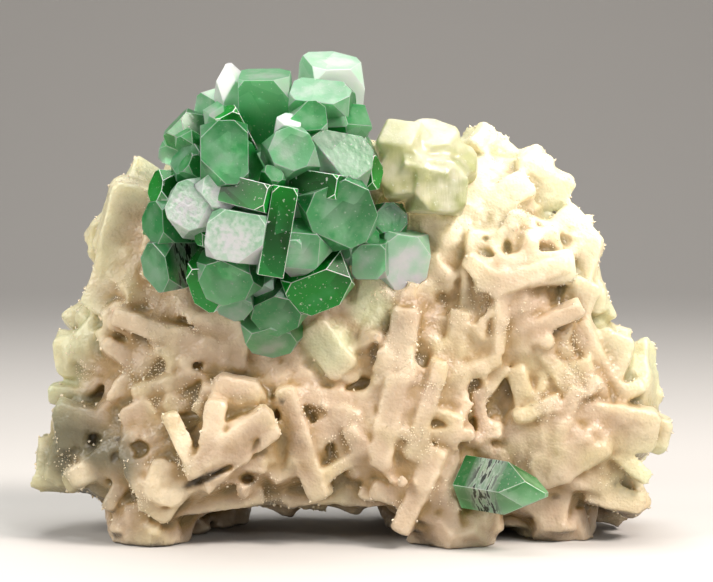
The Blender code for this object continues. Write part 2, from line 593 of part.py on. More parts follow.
def keep_outer_shells(base):
    """Drop the sealed hollows and loose chips that joining and cutting leave."""
    bm = bmesh.new()
    bm.from_mesh(base.data)
    bmesh.ops.remove_doubles(bm, verts=bm.verts, dist=MERGE * MM)
    for shell in shells_of(bm):
        if volume_inside(shell) < CHIP * MM**3:
            bmesh.ops.delete(bm, geom=shell, context="FACES")
    bm.to_mesh(base.data)
    bm.free()


def ground_block():
    """A block whose top is the plane Z = 0, which cuts the undersides of the feet flat."""
    bm = bmesh.new()
    bmesh.ops.create_cube(bm, size=1.0)
    bmesh.ops.scale(bm, vec=GROUND, verts=bm.verts)
    bmesh.ops.translate(bm, vec=(0.0, 0.0, -GROUND[2] / 2), verts=bm.verts)
    return bm


def place(made):
    """Move a finished mesh so that the specimen's middle stands over the origin."""
    made.data.transform(Matrix.Translation(Vector(ORIGIN_SHIFT) * MM))


def crystal_group(name, crystals, origin, material, core=0.0):
    """Intergrown crystals as one solid, round a core where they spring from a common root."""
    shapes = [crystal_solid(crystal, origin) for crystal in crystals]
    if core:
        shapes.append(ellipsoid(origin, (2 * core,) * 3, CORE_FACETS))
    made = mesh_object(name, shapes[0], material)
    combined(made, "UNION", shapes[1:])
    keep_outer_shells(made)
    return made


def pocket_shapes():
    """The crystals and the cluster's core with their faces moved out by the clearance."""
    shapes = [crystal_solid(crystal, CLUSTER_CENTRE, CLEARANCE) for crystal in CLUSTER_CRYSTALS]
    shapes.append(
        ellipsoid(CLUSTER_CENTRE, (2 * (CLUSTER_CORE + CLEARANCE),) * 3, CORE_FACETS)
    )
    shapes += [crystal_solid(crystal, CREST_ORIGIN, CLEARANCE) for crystal in CREST_CRYSTALS]
    shapes.append(crystal_solid(SINGLE_CRYSTAL, SINGLE_ORIGIN, CLEARANCE))
    return shapes


def stilbite_matrix(material):
    """The lump: its core, feet and blades joined, its pits and the crystals' pockets cut."""
    rim = lump_rim()
    made = mesh_object("stilbite_matrix", lump_core(rim), material)
    draw = np.random.default_rng(FILL_SEED)
    shapes = [foot_solid(draw, *foot) for foot in FEET]
    shapes += [blade_on_face(blade, -1, rim) for blade in FRONT_BLADES]
    shapes += fill_blades(rim)
    combined(made, "UNION", shapes)
    keep_outer_shells(made)
    pits = []
    for x, z, width, height, depth in PITS:
        surface = face_height(x, z, -1, rim)
        pits.append(ellipsoid((x, surface, z), (width, 2 * depth, height), PIT_FACETS))
    combined(made, "DIFFERENCE", pits + pocket_shapes() + [ground_block()])
    keep_outer_shells(made)
    return made


def main():
    """Build the four bodies."""
    clear_scene()
    stilbite = mineral("stilbite, cream and waxy", (0.58, 0.47, 0.32), 0.4)
    green = mineral("apophyllite, green", (0.16, 0.5, 0.24), 0.05, 0.6, 1.535)
    pale = mineral("apophyllite, pale", (0.72, 0.75, 0.5), 0.1, 0.4, 1.535)
    bodies = [
        stilbite_matrix(stilbite),
        crystal_group(
            "apophyllite_cluster", CLUSTER_CRYSTALS, CLUSTER_CENTRE, green, CLUSTER_CORE
        ),
        crystal_group("apophyllite_crest", CREST_CRYSTALS, CREST_ORIGIN, pale),
        mesh_object(
            "apophyllite_single_crystal", crystal_solid(SINGLE_CRYSTAL, SINGLE_ORIGIN), green
        ),
    ]
    for body in bodies:
        place(body)


main()
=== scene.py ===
"""Looks of an apophyllite specimen: clear green crystals grown on a lump of cream stilbite.

The lump is worked out as a solid on a regular grid: its core, its blades and its feet are
joined with soft seams, the pits and the crystals' seats are carved out, and the skin of the
result becomes a mesh. The crystals are convex solids, each behind its own flat faces, and
are cut from the same numbers as the frame that they replace. Sizes are millimetres in the
specimen's own frame: X to the right, Y to the back, Z up.
"""

from __future__ import annotations

import functools
import itertools
import logging
import math
from collections import defaultdict
from collections.abc import Callable, Iterable, Iterator, Sequence
from dataclasses import dataclass, replace
from enum import Enum
from typing import NamedTuple

import bmesh
import bpy
import numpy as np
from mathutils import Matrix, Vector, noise

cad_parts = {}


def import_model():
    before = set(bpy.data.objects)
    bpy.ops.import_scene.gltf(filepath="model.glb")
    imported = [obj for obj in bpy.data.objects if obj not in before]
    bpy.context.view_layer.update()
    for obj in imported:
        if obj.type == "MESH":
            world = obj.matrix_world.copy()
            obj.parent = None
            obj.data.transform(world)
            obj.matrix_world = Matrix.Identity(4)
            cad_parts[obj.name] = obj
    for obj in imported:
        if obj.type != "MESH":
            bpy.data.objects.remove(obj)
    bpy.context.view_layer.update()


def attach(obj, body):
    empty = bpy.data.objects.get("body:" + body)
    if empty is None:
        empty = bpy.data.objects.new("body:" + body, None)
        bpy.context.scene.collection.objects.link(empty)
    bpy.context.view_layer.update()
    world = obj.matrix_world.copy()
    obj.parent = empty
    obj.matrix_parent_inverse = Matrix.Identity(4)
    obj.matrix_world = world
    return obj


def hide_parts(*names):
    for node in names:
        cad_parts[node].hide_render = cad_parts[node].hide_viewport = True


LOG = logging.getLogger("specimen")

MM = 0.001
SHIFT = np.array((0.5, 5.5, 0.0))  # from the design's own origin to the frame's
GOLDEN_ANGLE = 137.5
SEED = 11
CRACK_AND_PAINTED_GLINT = "F6FCF4"  # white of a crack in a clear crystal, and of a painted reflection of a light on a face
FACE_ROUGHNESS = 0.3
STONE_MASKS = ("painted_shade", "white_and_painted_light", "pale", "stain", "underside_dark_and_pit_shade")


# --- small helpers --------------------------------------------------------------------------


def linear(code: str) -> tuple[float, float, float, float]:
    """Turn an sRGB hex colour, two digits for each of its three parts, into linear light."""
    shares = (int(code[at : at + 2], 16) / 255 for at in (0, 2, 4))
    red, green, blue = (
        share / 12.92 if share <= 0.04045 else ((share + 0.055) / 1.055) ** 2.4
        for share in shares
    )
    return red, green, blue, 1.0


def wander(points: np.ndarray, seed: int) -> np.ndarray:
    """Smooth noise between -1 and 1.

    A random value stands at every whole-number point, and the eight round a place are
    blended by 3t^2 - 2t^3 of its share t of the way between them along each axis.

    Args:
        points: places, one to a row, scaled so that the noise turns about once a unit.
        seed: picks the random values.

    Returns:
        The noise at each place.
    """
    size = 32
    table = np.random.default_rng(seed).uniform(-1.0, 1.0, (size,) * 3).astype(np.float32)
    cell = np.floor(points).astype(np.int32)
    share = (points - cell).astype(np.float32)
    share = share * share * (3.0 - 2.0 * share)
    total = np.zeros(len(points), np.float32)
    for corner in itertools.product((0, 1), repeat=3):
        at = (cell + np.array(corner, np.int32)) % size
        weight = np.prod(np.where(np.array(corner) == 1, share, 1.0 - share), axis=1)
        total += weight * table[at[:, 0], at[:, 1], at[:, 2]]
    return total


def ramp(values: np.ndarray, low: float, high: float) -> np.ndarray:
    """Share of the way from low to high, softened at both ends by 3t^2 - 2t^3."""
    share = np.clip((values - low) / (high - low), 0.0, 1.0)
    return share * share * (3.0 - 2.0 * share)


def spiral(count: int) -> Iterator[tuple[float, float]]:
    """Points spread evenly over a disc: their shares of its radius, and their angles."""
    for index in range(count):
        yield math.sqrt((index + 0.5) / count), index * math.radians(GOLDEN_ANGLE)


def rows_of(mesh: bpy.types.Mesh, key: str) -> np.ndarray:
    """The corners' places (co) or normals (normal), one to a row."""
    rows = np.empty(len(mesh.vertices) * 3, np.float32)
    mesh.vertices.foreach_get(key, rows)
    return rows.reshape(-1, 3)


def mesh_object(
    name: str,
    points: np.ndarray,
    faces: Sequence[Sequence[int]] | np.ndarray,
    material: bpy.types.Material,
) -> bpy.types.Object:
    """Put a mesh, in millimetres, into the scene as a named object in metres.

    Args:
        name: the object's name.
        points: its corners, in the design's own frame.
        faces: its faces, as lists of corner numbers that run anticlockwise seen from outside.
        material: its finish.

    Returns:
        The object, at the origin.
    """
    mesh = bpy.data.meshes.new(name)
    places = (np.asarray(points, float) + SHIFT) * MM
    if isinstance(faces, np.ndarray):
        count, sides = faces.shape
        mesh.vertices.add(len(places))
        mesh.vertices.foreach_set("co", places.astype(np.float32).ravel())
        mesh.loops.add(count * sides)
        mesh.loops.foreach_set("vertex_index", faces.astype(np.int32).ravel())
        mesh.polygons.add(count)
        mesh.polygons.foreach_set("loop_start", np.arange(0, count * sides, sides, dtype=np.int32))
        mesh.update(calc_edges=True)
    else:
        mesh.from_pydata(places.tolist(), [], faces)
    mesh.materials.append(material)
    made = bpy.data.objects.new(name, mesh)
    bpy.context.scene.collection.objects.link(made)
    return made


def give(mesh: bpy.types.Mesh, name: str, values: np.ndarray, domain: str = "POINT") -> None:
    """Store a number or a vector for each corner or face of a mesh.

    Args:
        mesh: the mesh.
        name: the attribute's name, which a material reads.
        values: one number or one row of three to each element.
        domain: POINT for corners, FACE for faces.
    """
    vector = values.ndim == 2
    layer = mesh.attributes.new(name, "FLOAT_VECTOR" if vector else "FLOAT", domain)
    key = "vector" if vector else "value"
    layer.data.foreach_set(key, np.ascontiguousarray(values, np.float32).ravel())


def add(
    tree: bpy.types.NodeTree,
    kind: str,
    inputs: Sequence[object] | dict[int | str, object],
    out: int | str = 0,
    **settings: object,
) -> bpy.types.NodeSocket | None:
    """Add a node with its settings, values and links.

    Args:
        tree: the node tree.
        kind: the node's type.
        inputs: the value or the feeding socket of each input, in order or by name.
        out: which output to give back.
        settings: the node's own properties.

    Returns:
        The output, or None from a node without any.
    """
    made = tree.nodes.new(f"ShaderNode{kind}")
    for key, value in settings.items():
        setattr(made, key, value)
    for key, value in inputs.items() if isinstance(inputs, dict) else enumerate(inputs):
        if isinstance(value, bpy.types.NodeSocket):
            tree.links.new(value, made.inputs[key])
        else:
            made.inputs[key].default_value = value
    return made.outputs[out] if made.outputs else None


def blank(name: str) -> tuple[bpy.types.Material, Callable[..., bpy.types.NodeSocket]]:
    """An empty material, and the function that adds a node to it."""
    made = bpy.data.materials.new(name)
    made.use_nodes = True
    made.node_tree.nodes.clear()
    return made, functools.partial(add, made.node_tree)


def layered(
    node: Callable[..., bpy.types.NodeSocket],
    colour: object,
    layers: Iterable[tuple[object, float, float, float, float, str]],
) -> object:
    """Lay colours over one another.

    Args:
        node: adds a node.
        colour: the lowest colour.
        layers: for each colour the value that it follows, the low and high of that value,
            how much of the colour shows at each, and its code.

    Returns:
        The colour of them all.
    """
    for value, low, high, least, most, code in layers:
        mask = node("MapRange", (value, low, high, least, most))
        inputs = {0: mask, 6: colour, 7: linear(code)}
        colour = node("Mix", inputs, 2, data_type="RGBA")
    return colour


# --- convex solids --------------------------------------------------------------------------


@dataclass(frozen=True)
class Facets:
    """A convex solid: what lies behind a set of planes.

    Attributes:
        normals: the planes' unit normals, one to a row.
        distances: how far each plane lies from the middle.
        middle: the point that the distances are measured from.
    """

    normals: np.ndarray
    distances: np.ndarray
    middle: np.ndarray

    def corners(self) -> np.ndarray:
        """Points where three planes meet and that no other plane cuts away."""
        tolerance = 1e-6
        triples = np.array(list(itertools.combinations(range(len(self.normals)), 3)))
        matrices = self.normals[triples]
        sound = np.abs(np.linalg.det(matrices)) > tolerance
        sides = self.distances[triples[sound]][..., None]
        points = np.linalg.solve(matrices[sound], sides)[..., 0]
        kept = (points @ self.normals.T <= self.distances + tolerance).all(axis=1)
        return np.unique(np.round(points[kept], 5), axis=0) + self.middle

    def depth(self, points: np.ndarray, softness: float) -> np.ndarray:
        """Distance from the surface, below zero inside.

        It is the largest distance from any plane, and near an edge k log sum exp(d / k)
        of them all, which rounds the edge over about k.

        Args:
            points: places, in the last axis of the array.
            softness: k, in millimetres.

        Returns:
            The distance of each place.
        """
        normals = self.normals.astype(np.float32)
        shift = (self.distances + self.normals @ self.middle).astype(np.float32)
        offsets = points @ normals.T - shift
        peak = offsets.max(axis=-1)
        scaled = np.exp((offsets - peak[..., None]) / softness)
        return peak + softness * np.log(scaled.sum(axis=-1))

    def hull(self, bevel: float) -> tuple[np.ndarray, list[list[int]]]:
        """The solid's surface with its edges cut by a narrow bevel.

        Args:
            bevel: width cut from each face at an edge.

        Returns:
            The corners, and the faces as lists of corner numbers.
        """
        source = bpy.data.meshes.new("hull")
        source.from_pydata(self.corners().tolist(), [], [])
        bm = bmesh.new()
        bm.from_mesh(source)
        bpy.data.meshes.remove(source)
        bmesh.ops.convex_hull(bm, input=bm.verts)
        flat = math.radians(0.2)
        bmesh.ops.dissolve_limit(bm, angle_limit=flat, verts=bm.verts, edges=bm.edges)
        bmesh.ops.bevel(
            bm, geom=bm.edges, offset=bevel, segments=1, affect="EDGES", clamp_overlap=True
        )
        bmesh.ops.remove_doubles(bm, verts=bm.verts, dist=bevel / 20)
        bmesh.ops.recalc_face_normals(bm, faces=bm.faces)
        bm.verts.index_update()
        points = np.array([vert.co[:] for vert in bm.verts])
        faces = [[vert.index for vert in face.verts] for face in bm.faces]
        bm.free()
        return points, faces


# --- a solid on a grid ----------------------------------------------------------------------


class StoneField:
    """A solid held as one number at each point of a regular grid, below zero inside it."""

    def __init__(self, low: Sequence[float], high: Sequence[float], step: float) -> None:
        """Lay out an empty grid.

        Args:
            low: its lowest corner.
            high: its highest corner.
            step: distance between its points.
        """
        self.step = step
        self.low = np.array(low, np.float32)
        count = np.ceil((np.array(high) - low) / step).astype(int) + 1
        self.axes = [self.low[i] + step * np.arange(count[i], dtype=np.float32) for i in range(3)]
        self.values = np.full(tuple(count), 1e3, np.float32)

    def window(self, points: np.ndarray, margin: float) -> tuple[tuple[slice, ...], np.ndarray]:
        """The part of the grid round some points.

        Args:
            points: the points, one to a row.
            margin: how far the window reaches past them.

        Returns:
            The window as slices, and the places of its grid points.
        """
        first = np.floor((points.min(axis=0) - margin - self.low) / self.step).astype(int)
        last = np.ceil((points.max(axis=0) + margin - self.low) / self.step).astype(int) + 1
        spans = tuple(
            slice(max(0, a), max(0, min(b, size)))
            for a, b, size in zip(first, last, self.values.shape)
        )
        grid = np.meshgrid(*(axis[span] for axis, span in zip(self.axes, spans)), indexing="ij")
        return spans, np.stack(grid, axis=-1)

    def blend(
        self, spans: tuple[slice, ...], distance: np.ndarray, fillet: float, sign: int = 1
    ) -> None:
        """Join a shape to the stone, or with a sign of -1 cut it away, with a soft seam.

        The lower of the two distances is taken, less h^2 / 4k where they differ by less than
        k, with h the rest of that difference. A cut does the same with the stone inside out.

        Args:
            spans: the part of the grid.
            distance: distance of each of its points from the shape.
            fillet: k.
            sign: 1 to join, -1 to cut.
        """
        old = sign * self.values[spans]
        rest = np.maximum(fillet - np.abs(old - distance), 0.0)
        self.values[spans] = sign * (np.minimum(old, distance) - rest * rest / (4 * fillet))

    def join(self, solid: Facets, softness: float, fillet: float) -> None:
        """Join a convex solid whose edges are rounded by softness."""
        spans, places = self.window(solid.corners(), fillet + 2 * self.step)
        self.blend(spans, solid.depth(places, softness), fillet)

    def carve(self, solid: Facets, softness: float, fillet: float, inset: float) -> None:
        """Cut a convex solid away, with its faces drawn in by the inset first."""
        spans, places = self.window(solid.corners(), fillet + 2 * self.step)
        self.blend(spans, solid.depth(places, softness) + inset, fillet, -1)

    def carve_ellipsoid(
        self,
        middle: Sequence[float],
        size: Sequence[float],
        turn: float = 0.0,
        fillet: float = 0.3,
        rough: float = 0.4,
    ) -> None:
        """Cut a rough ellipsoid away: (|p / r| - 1) times its least radius, moved by noise.

        Args:
            middle: its middle.
            size: its full size along each axis.
            turn: its turn about Y, anticlockwise from the front.
            fillet: how far the edge of the cut is rounded.
            rough: height of the noise.
        """
        half = np.array(size) / 2
        ends = np.array(middle) + np.array(((-1.0,), (1.0,))) * half.max()
        spans, places = self.window(ends, fillet + 2 * self.step)
        away = (places - np.array(middle)).astype(np.float32)
        cos, sin = math.cos(math.radians(turn)), math.sin(math.radians(turn))
        turned = np.stack(
            (
                cos * away[..., 0] + sin * away[..., 2],
                away[..., 1],
                cos * away[..., 2] - sin * away[..., 0],
            ),
            axis=-1,
        )
        reach = np.linalg.norm(turned / half, axis=-1)
        moved = wander(places.reshape(-1, 3) / 2.2, SEED + 9).reshape(reach.shape)
        self.blend(spans, (reach - 1.0) * half.min() + rough * moved, fillet, -1)

    def roughen(
        self,
        layers: Iterable[tuple[float, float]],
        band: float,
        steps: tuple[float, float, int] | None = None,
    ) -> None:
        """Move the surface in and out by noise, and break it into low growth steps.

        A step layer is noise rounded down to a few levels, with a short ramp between them.

        Args:
            layers: the height and the spacing of each layer of noise.
            band: how near the surface the values are changed.
            steps: the height and the spacing of the steps, and how many levels they have.
        """
        near = np.nonzero(np.abs(self.values) < band)
        places = np.stack([axis[at] for axis, at in zip(self.axes, near)], axis=-1)
        if steps:
            height, spacing, levels = steps
            raised = levels * wander(places / spacing, SEED + 40)
            level = np.floor(raised)
            self.values[near] += height * (level + ramp(raised - level, 0.7, 1.0)) / levels
        for number, (height, spacing) in enumerate(layers):
            self.values[near] += height * wander(places / spacing + number * 5.3, SEED + number)

    def front(self, x: float, z: float) -> float:
        """The y of the foremost stone at (x, z), seen from the front."""
        across, up = (int(round((at - self.low[i]) / self.step)) for at, i in ((x, 0), (z, 2)))
        return float(self.axes[1][np.argmax(self.values[across, :, up] < 0)])

    def fullness(self, reach: float) -> np.ndarray:
        """Share of stone in the cube of a given half width round each grid point."""
        filled = (self.values < 0).astype(np.float32)
        width = max(1, int(round(reach / self.step)))
        for axis in range(3):
            padding = [(0, 0)] * 3
            padding[axis] = (width + 1, width)
            run = np.cumsum(np.pad(filled, padding), axis=axis, dtype=np.float32)
            size = filled.shape[axis]
            ahead = np.take(run, np.arange(size) + 2 * width + 1, axis=axis)
            behind = np.take(run, np.arange(size), axis=axis)
            filled = (ahead - behind) / (2 * width + 1)
        return filled

    def sample(self, values: np.ndarray, points: np.ndarray) -> np.ndarray:
        """Values of the grid at places between its points, blended along each axis in turn."""
        scaled = (points - self.low) / self.step
        cell = np.clip(np.floor(scaled).astype(int), 0, np.array(values.shape) - 2)
        share = scaled - cell
        total = np.zeros(len(points))
        for corner in itertools.product((0, 1), repeat=3):
            at = cell + corner
            weight = np.prod(np.where(np.array(corner) == 1, share, 1.0 - share), axis=1)
            total += weight * values[at[:, 0], at[:, 1], at[:, 2]]
        return total

    def skin(self) -> tuple[np.ndarray, np.ndarray]:
        """The surface where the values pass zero, as a closed net of four-sided faces.

        Each grid cell that the surface passes through has one corner of the net, at the
        mean of the points where the surface crosses the cell's edges. Each crossed grid edge
        has one face, between the corners of the four cells round it.

        Returns:
            The corners, and the faces as rows of four corner numbers.
        """
        values = self.values
        inside = values < 0
        size = np.array(values.shape) - 1
        parts = [
            inside[i : size[0] + i, j : size[1] + j, k : size[2] + k]
            for i, j, k in itertools.product((0, 1), repeat=3)
        ]
        count = np.sum(parts, axis=0, dtype=np.uint8)
        active = (count > 0) & (count < len(parts))
        cells = np.argwhere(active)
        number = np.full(active.shape, -1, np.int64)
        number[active] = np.arange(len(cells))
        total = np.zeros((len(cells), 3))
        hits = np.zeros(len(cells))
        faces = []
        for axis in range(3):
            along = np.eye(3, dtype=int)[axis]
            across, over = (np.eye(3, dtype=int)[(axis + turn) % 3] for turn in (1, 2))
            for a, b in itertools.product((0, 1), repeat=2):
                start = a * across + b * over
                from_value = values[tuple((cells + start).T)]
                to_value = values[tuple((cells + start + along).T)]
                crossed = (from_value < 0) != (to_value < 0)
                gap = np.where(crossed, from_value - to_value, 1.0)
                share = np.where(crossed, from_value / gap, 0.0)
                total += crossed[:, None] * (start + share[:, None] * along)
                hits += crossed
            here = inside[tuple(slice(0, n - step) for n, step in zip(values.shape, along))]
            there = inside[tuple(slice(step, n) for n, step in zip(values.shape, along))]
            edges = np.argwhere(here != there)
            corners = [edges, edges - across, edges - across - over, edges - over]
            quads = np.stack([number[tuple(corner.T)] for corner in corners], axis=1)
            outward = here[tuple(edges.T)]
            faces.append(np.where(outward[:, None], quads, quads[:, ::-1]))
        points = self.low + self.step * (cells + total / hits[:, None])
        return points, np.concatenate(faces)


def relaxed(points: np.ndarray, quads: np.ndarray, share: float) -> np.ndarray:
    """Even out a net: each corner moves a share of the way to the mean of its neighbours."""
    ends = np.concatenate([quads[:, [i, (i + 1) % 4]] for i in range(4)])
    count = len(points)
    weight = np.bincount(ends[:, 0], minlength=count).astype(float)[:, None]
    sums = [np.bincount(ends[:, 0], points[ends[:, 1], i], minlength=count) for i in range(3)]
    return points + share * (np.stack(sums, axis=1) / weight - points)


# --- finishes -------------------------------------------------------------------------------


@dataclass(frozen=True)
class Stilbite:
    """Stilbite: a zeolite with a waxy to pearly skin that light sinks into for a few
    millimetres. Grown as fused blades, so the skin is smooth, with specks of druse.

    Attributes:
        gloss: roughness of the skin.
        scatter: how far light spreads under it, in metres.
        relief: strength of its ripples, plates and grains.
        crown to near black: the colours, from the crests of the blades down to near black.
        Cream, tan and olive follow the painted shade, the bright colour serves white parts and
        painted light, and the near black darkens the underside and is painted shade in the pits.
    """

    gloss: float = 0.4
    scatter: float = 0.0034
    relief: float = 0.28
    crown: str = "BAA88D"
    cream: str = "A18C72"
    tan: str = "8A714A"
    olive: str = "685632"
    rose: str = "AA927B"
    straw: str = "AEA277"
    bright: str = "F6E6C8"
    pale: str = "BFC6A0"
    stain: str = "504C38"
    near_black: str = "1D1A16"

    def material(self, name: str) -> bpy.types.Material:
        """Make the material of this name."""
        made, node = blank(name)
        place = node("TexCoord", (), "Object")
        painted_shade, white_and_painted_light, pale, stain, underside_dark_and_pit_shade = (
            node("Attribute", (), "Fac", attribute_name=mask) for mask in STONE_MASKS
        )
        cloud, fine, ripples, drift = (
            node("TexNoise", {"Vector": place, "Scale": 1 / (spacing * MM), "Detail": detail})
            for spacing, detail in ((7.0, 3.0), (1.3, 4.0), (1.4, 4.0), (13.0, 2.0))
        )
        grains, plates = (
            node("TexVoronoi", {"Vector": place, "Scale": 1 / (spacing * MM)}, out)
            for spacing, out in ((0.55, "Distance"), (1.7, "Color"))
        )
        height = node("Math", (painted_shade, node("MapRange", (cloud, 0.3, 0.7, -0.1, 0.1))))
        # pale on the crowns of the blades, with a hue that drifts between rose and straw over a
        # centimetre or two; as painted shade, cream below the crowns, then tan and olive into the
        # hollows and towards the lower left, away from the light
        layers = (
            (height, 0.1, 0.42, 0.0, 1.0, self.cream),
            (drift, 0.5, 0.68, 0.0, 0.4, self.rose),
            (drift, 0.5, 0.32, 0.0, 0.55, self.straw),
            # white parts, and painted light on the upper right
            (white_and_painted_light, 0.0, 1.0, 0.0, 1.0, self.bright),
            (height, 0.42, 0.7, 0.0, 1.0, self.tan),
            (height, 0.7, 0.95, 0.0, 1.0, self.olive),
            (pale, 0.0, 1.0, 0.0, 1.0, self.pale),
            (stain, 0.0, 1.0, 0.0, 1.0, self.stain),
            # near black low underneath, and painted shade in the pits
            (underside_dark_and_pit_shade, 0.0, 1.0, 0.0, 1.0, self.near_black),
        )
        mottle = node("MapRange", (fine, 0.3, 0.7, 0.95, 1.03))
        inputs = {0: 1.0, 6: layered(node, linear(self.crown), layers), 7: mottle}
        colour = node("Mix", inputs, 2, data_type="RGBA", blend_type="MULTIPLY")
        # waxy ripples 1.4 mm apart, growth plates 1.7 mm across with a step between them,
        # and grains half a millimetre across over both
        bumps = (
            (2.0, 0.6, ripples),
            (0.9, 0.3, node("SeparateColor", (plates,))),
            (1.2, 0.3, grains),
        )
        normal = None
        for strength, rise, height in bumps:
            inputs = {"Strength": strength * self.relief, "Distance": rise * MM, "Height": height}
            if normal:
                inputs["Normal"] = normal
            normal = node("Bump", inputs)
        gloss = (fine, 0.35, 0.65, self.gloss - 0.12, self.gloss + 0.12)
        inputs = {
            "Base Color": colour,
            "Roughness": node("MapRange", gloss),
            "IOR": 1.5,
            "Subsurface Weight": 0.8,
            "Subsurface Radius": (1.0, 0.8, 0.55),
            "Subsurface Scale": self.scatter,
            "Normal": normal,
        }
        node("OutputMaterial", (node("BsdfPrincipled", inputs, subsurface_method="BURLEY"),))
        return made


class Tone(Enum):
    """The greens of the crystals, from nearly clear to nearly black."""

    ICE = "ice"
    PALE = "pale"
    FRESH = "fresh"
    CLOUDY = "cloudy"
    DEEP = "deep"
    FROSTED = "frosted"
    STREAKED = "streaked"
    CREST = "crest"
    LONE = "lone"


@dataclass(frozen=True)
class Apophyllite:
    """Apophyllite: a clear, glassy crystal, pearly on the flat end and lined along its sides,
    with cloudy veils inside and a thin bruised line along each edge, whitened also as a
    painted highlight.

    Attributes:
        body: colour of its clear parts near the end.
        deep: colour of its clear parts near the root, where it is painted darker as shade, and of the
            faces painted as shade.
        haze: colour of its cloudy parts, and of the faces painted lighter.
        cloud: share of it that is cloudy, from 0 to 1.
        soak: colour that the depth of the crystal leaves.
        strength: how fast it does so, per metre.
        clear: share of the light that passes the surface.
        worn: roughness that the worn edges have over the faces.
        mosaic: strength of the relief of the end.
        scatter: how far red, green and blue light spread in its cloudy parts.
        veil: distance between its veils, in millimetres.
        streaks: where black and white growth steps cross it, from and to, below its end.
        ghosts: how strongly its far facets show through it, as painted dark and light patches.
        gloss: specular level of the faces.
        lines: strength of the lines along the prism.
    """

    body: str
    deep: str
    haze: str
    cloud: float
    soak: str
    strength: float
    clear: float = 0.8
    worn: float = 0.05
    mosaic: float = 0.12
    scatter: tuple[float, float, float] = (0.6, 1.0, 0.75)
    veil: float = 3.4
    streaks: tuple[float, float] | None = None
    ghosts: float = 0.75
    gloss: float = 0.36
    lines: float = 0.2

    def material(self, name: str) -> bpy.types.Material:
        """Make the material of this name."""
        made, node = blank(name)
        place, half = (
            node("Attribute", (), "Vector", attribute_name=key) for key in ("place", "half")
        )
        end, edge, seed, shade, painted_lee_glow = (
            node("Attribute", (), "Fac", attribute_name=key)
            for key in ("end", "edge", "seed", "shade", "painted_lee_glow")
        )
        along = node("SeparateXYZ", (place,), 2)
        moved = node("VectorMath", (place, seed))
        # veils, thick in the middle of the crystal and thin towards its sides
        share = node("VectorMath", (place, half), operation="DIVIDE")
        across = node("SeparateXYZ", (node("VectorMath", (share,), operation="ABSOLUTE"),))
        rim = node("Math", (across, across.node.outputs[1]), operation="MAXIMUM")
        veil = node("TexNoise", {"Vector": moved, "Scale": 1 / self.veil, "Detail": 5.0})
        centred = node("Math", (node("MapRange", (rim, 0.2, 1.0, 0.1, -0.12)), veil))
        low = 0.78 - 0.5 * self.cloud
        # painted light and shade: each face is painted with what it shows through the crystal,
        # with softer patches 5 mm across of the far faces, and lighter low in the crystal, where
        # light that enters above gathers
        ghost = node("TexVoronoi", {"Vector": moved, "Scale": 0.2}, "Color")
        ghost = node("MapRange", (node("SeparateColor", (ghost,)), 0.2, 0.8, -0.3, 0.3))
        shade = node("Math", (painted_lee_glow, node("Math", (shade, ghost))))
        # specks half a millimetre across, where small cracks catch the light
        cracks = node("TexNoise", {"Vector": moved, "Scale": 1.7, "Detail": 4.0})
        layers = [
            # painted shade: darker green towards the root
            (along, -7.0, -0.5, 1.0, 0.0, self.deep),
            (centred, low - 0.14, low + 0.14, 0.0, 1.0, self.haze),
            # painted shade and light on each face, and on the brightest a painted reflection of a light
            (shade, -0.1, -1.2, 0.0, self.ghosts, self.deep),
            (shade, 0.2, 1.3, 0.0, self.ghosts, self.haze),
            (shade, 1.3, 2.4, 0.0, 0.85, CRACK_AND_PAINTED_GLINT),
            (cracks, 0.64, 0.72, 0.0, 0.7, CRACK_AND_PAINTED_GLINT),
        ]
        if self.streaks:
            # growth steps 0.6 mm apart, some black where they are full of dark films
            steps = node("Mapping", {"Vector": moved, "Scale": (0.35, 0.35, 1.9)})
            steps = node("TexNoise", {"Vector": steps, "Scale": 1.0, "Detail": 4.0})
            limits = zip(self.streaks, ((0.0, 1.0), (1.0, 0.0)))
            ramps = (node("MapRange", (along, at - 0.8, at + 0.8, *ends)) for at, ends in limits)
            near = node("Math", tuple(ramps), operation="MULTIPLY")
            for code, *limits in (("D2DED2", 0.4, 0.5, 0.4, 1.0), ("0C120C", 0.5, 0.55, 0.0, 1.0)):
                step = node("Math", (near, node("MapRange", (steps, *limits))), operation="MULTIPLY")
                layers.append((step, 0.0, 1.0, 0.0, 1.0, code))
        # a whitened line along each edge: bruising, and a painted highlight
        layers.append((edge, 0.0, 1.0, 0.0, 0.8, "F4FBF4"))
        worn = node("MapRange", (veil, 0.3, 0.7, 0.5 * self.worn, 1.6 * self.worn))
        rough = node("Math", (worn, edge, FACE_ROUGHNESS), operation="MULTIPLY_ADD")
        # lines along the prism 0.4 mm apart, and on the end a mosaic a millimetre across
        lined = node("Mapping", {"Vector": place, "Scale": (2.4, 2.4, 0.12)})
        bumps = []
        for vector, scale, detail, strength, rise in (
            (lined, 1.0, 2.0, self.lines, 0.25), (place, 0.8, 3.0, self.mosaic, 0.5)
        ):  # fmt: skip
            height = node("TexNoise", {"Vector": vector, "Scale": scale, "Detail": detail})
            inputs = {"Strength": strength, "Distance": rise * MM, "Height": height}
            bumps.append(node("Bump", inputs))
        inputs = {
            "Base Color": layered(node, linear(self.body), layers),
            "Roughness": rough,
            "IOR": 1.535,
            "Specular IOR Level": self.gloss,
            "Transmission Weight": self.clear,
            "Subsurface Weight": 1.0,
            "Subsurface Radius": self.scatter,
            "Subsurface Scale": 0.0015,
            "Normal": node("Mix", {0: end, 4: bumps[0], 5: bumps[1]}, 1, data_type="VECTOR"),
        }
        soak = node("VolumeAbsorption", (linear(self.soak), self.strength))
        node("OutputMaterial", (node("BsdfPrincipled", inputs), soak))
        return made


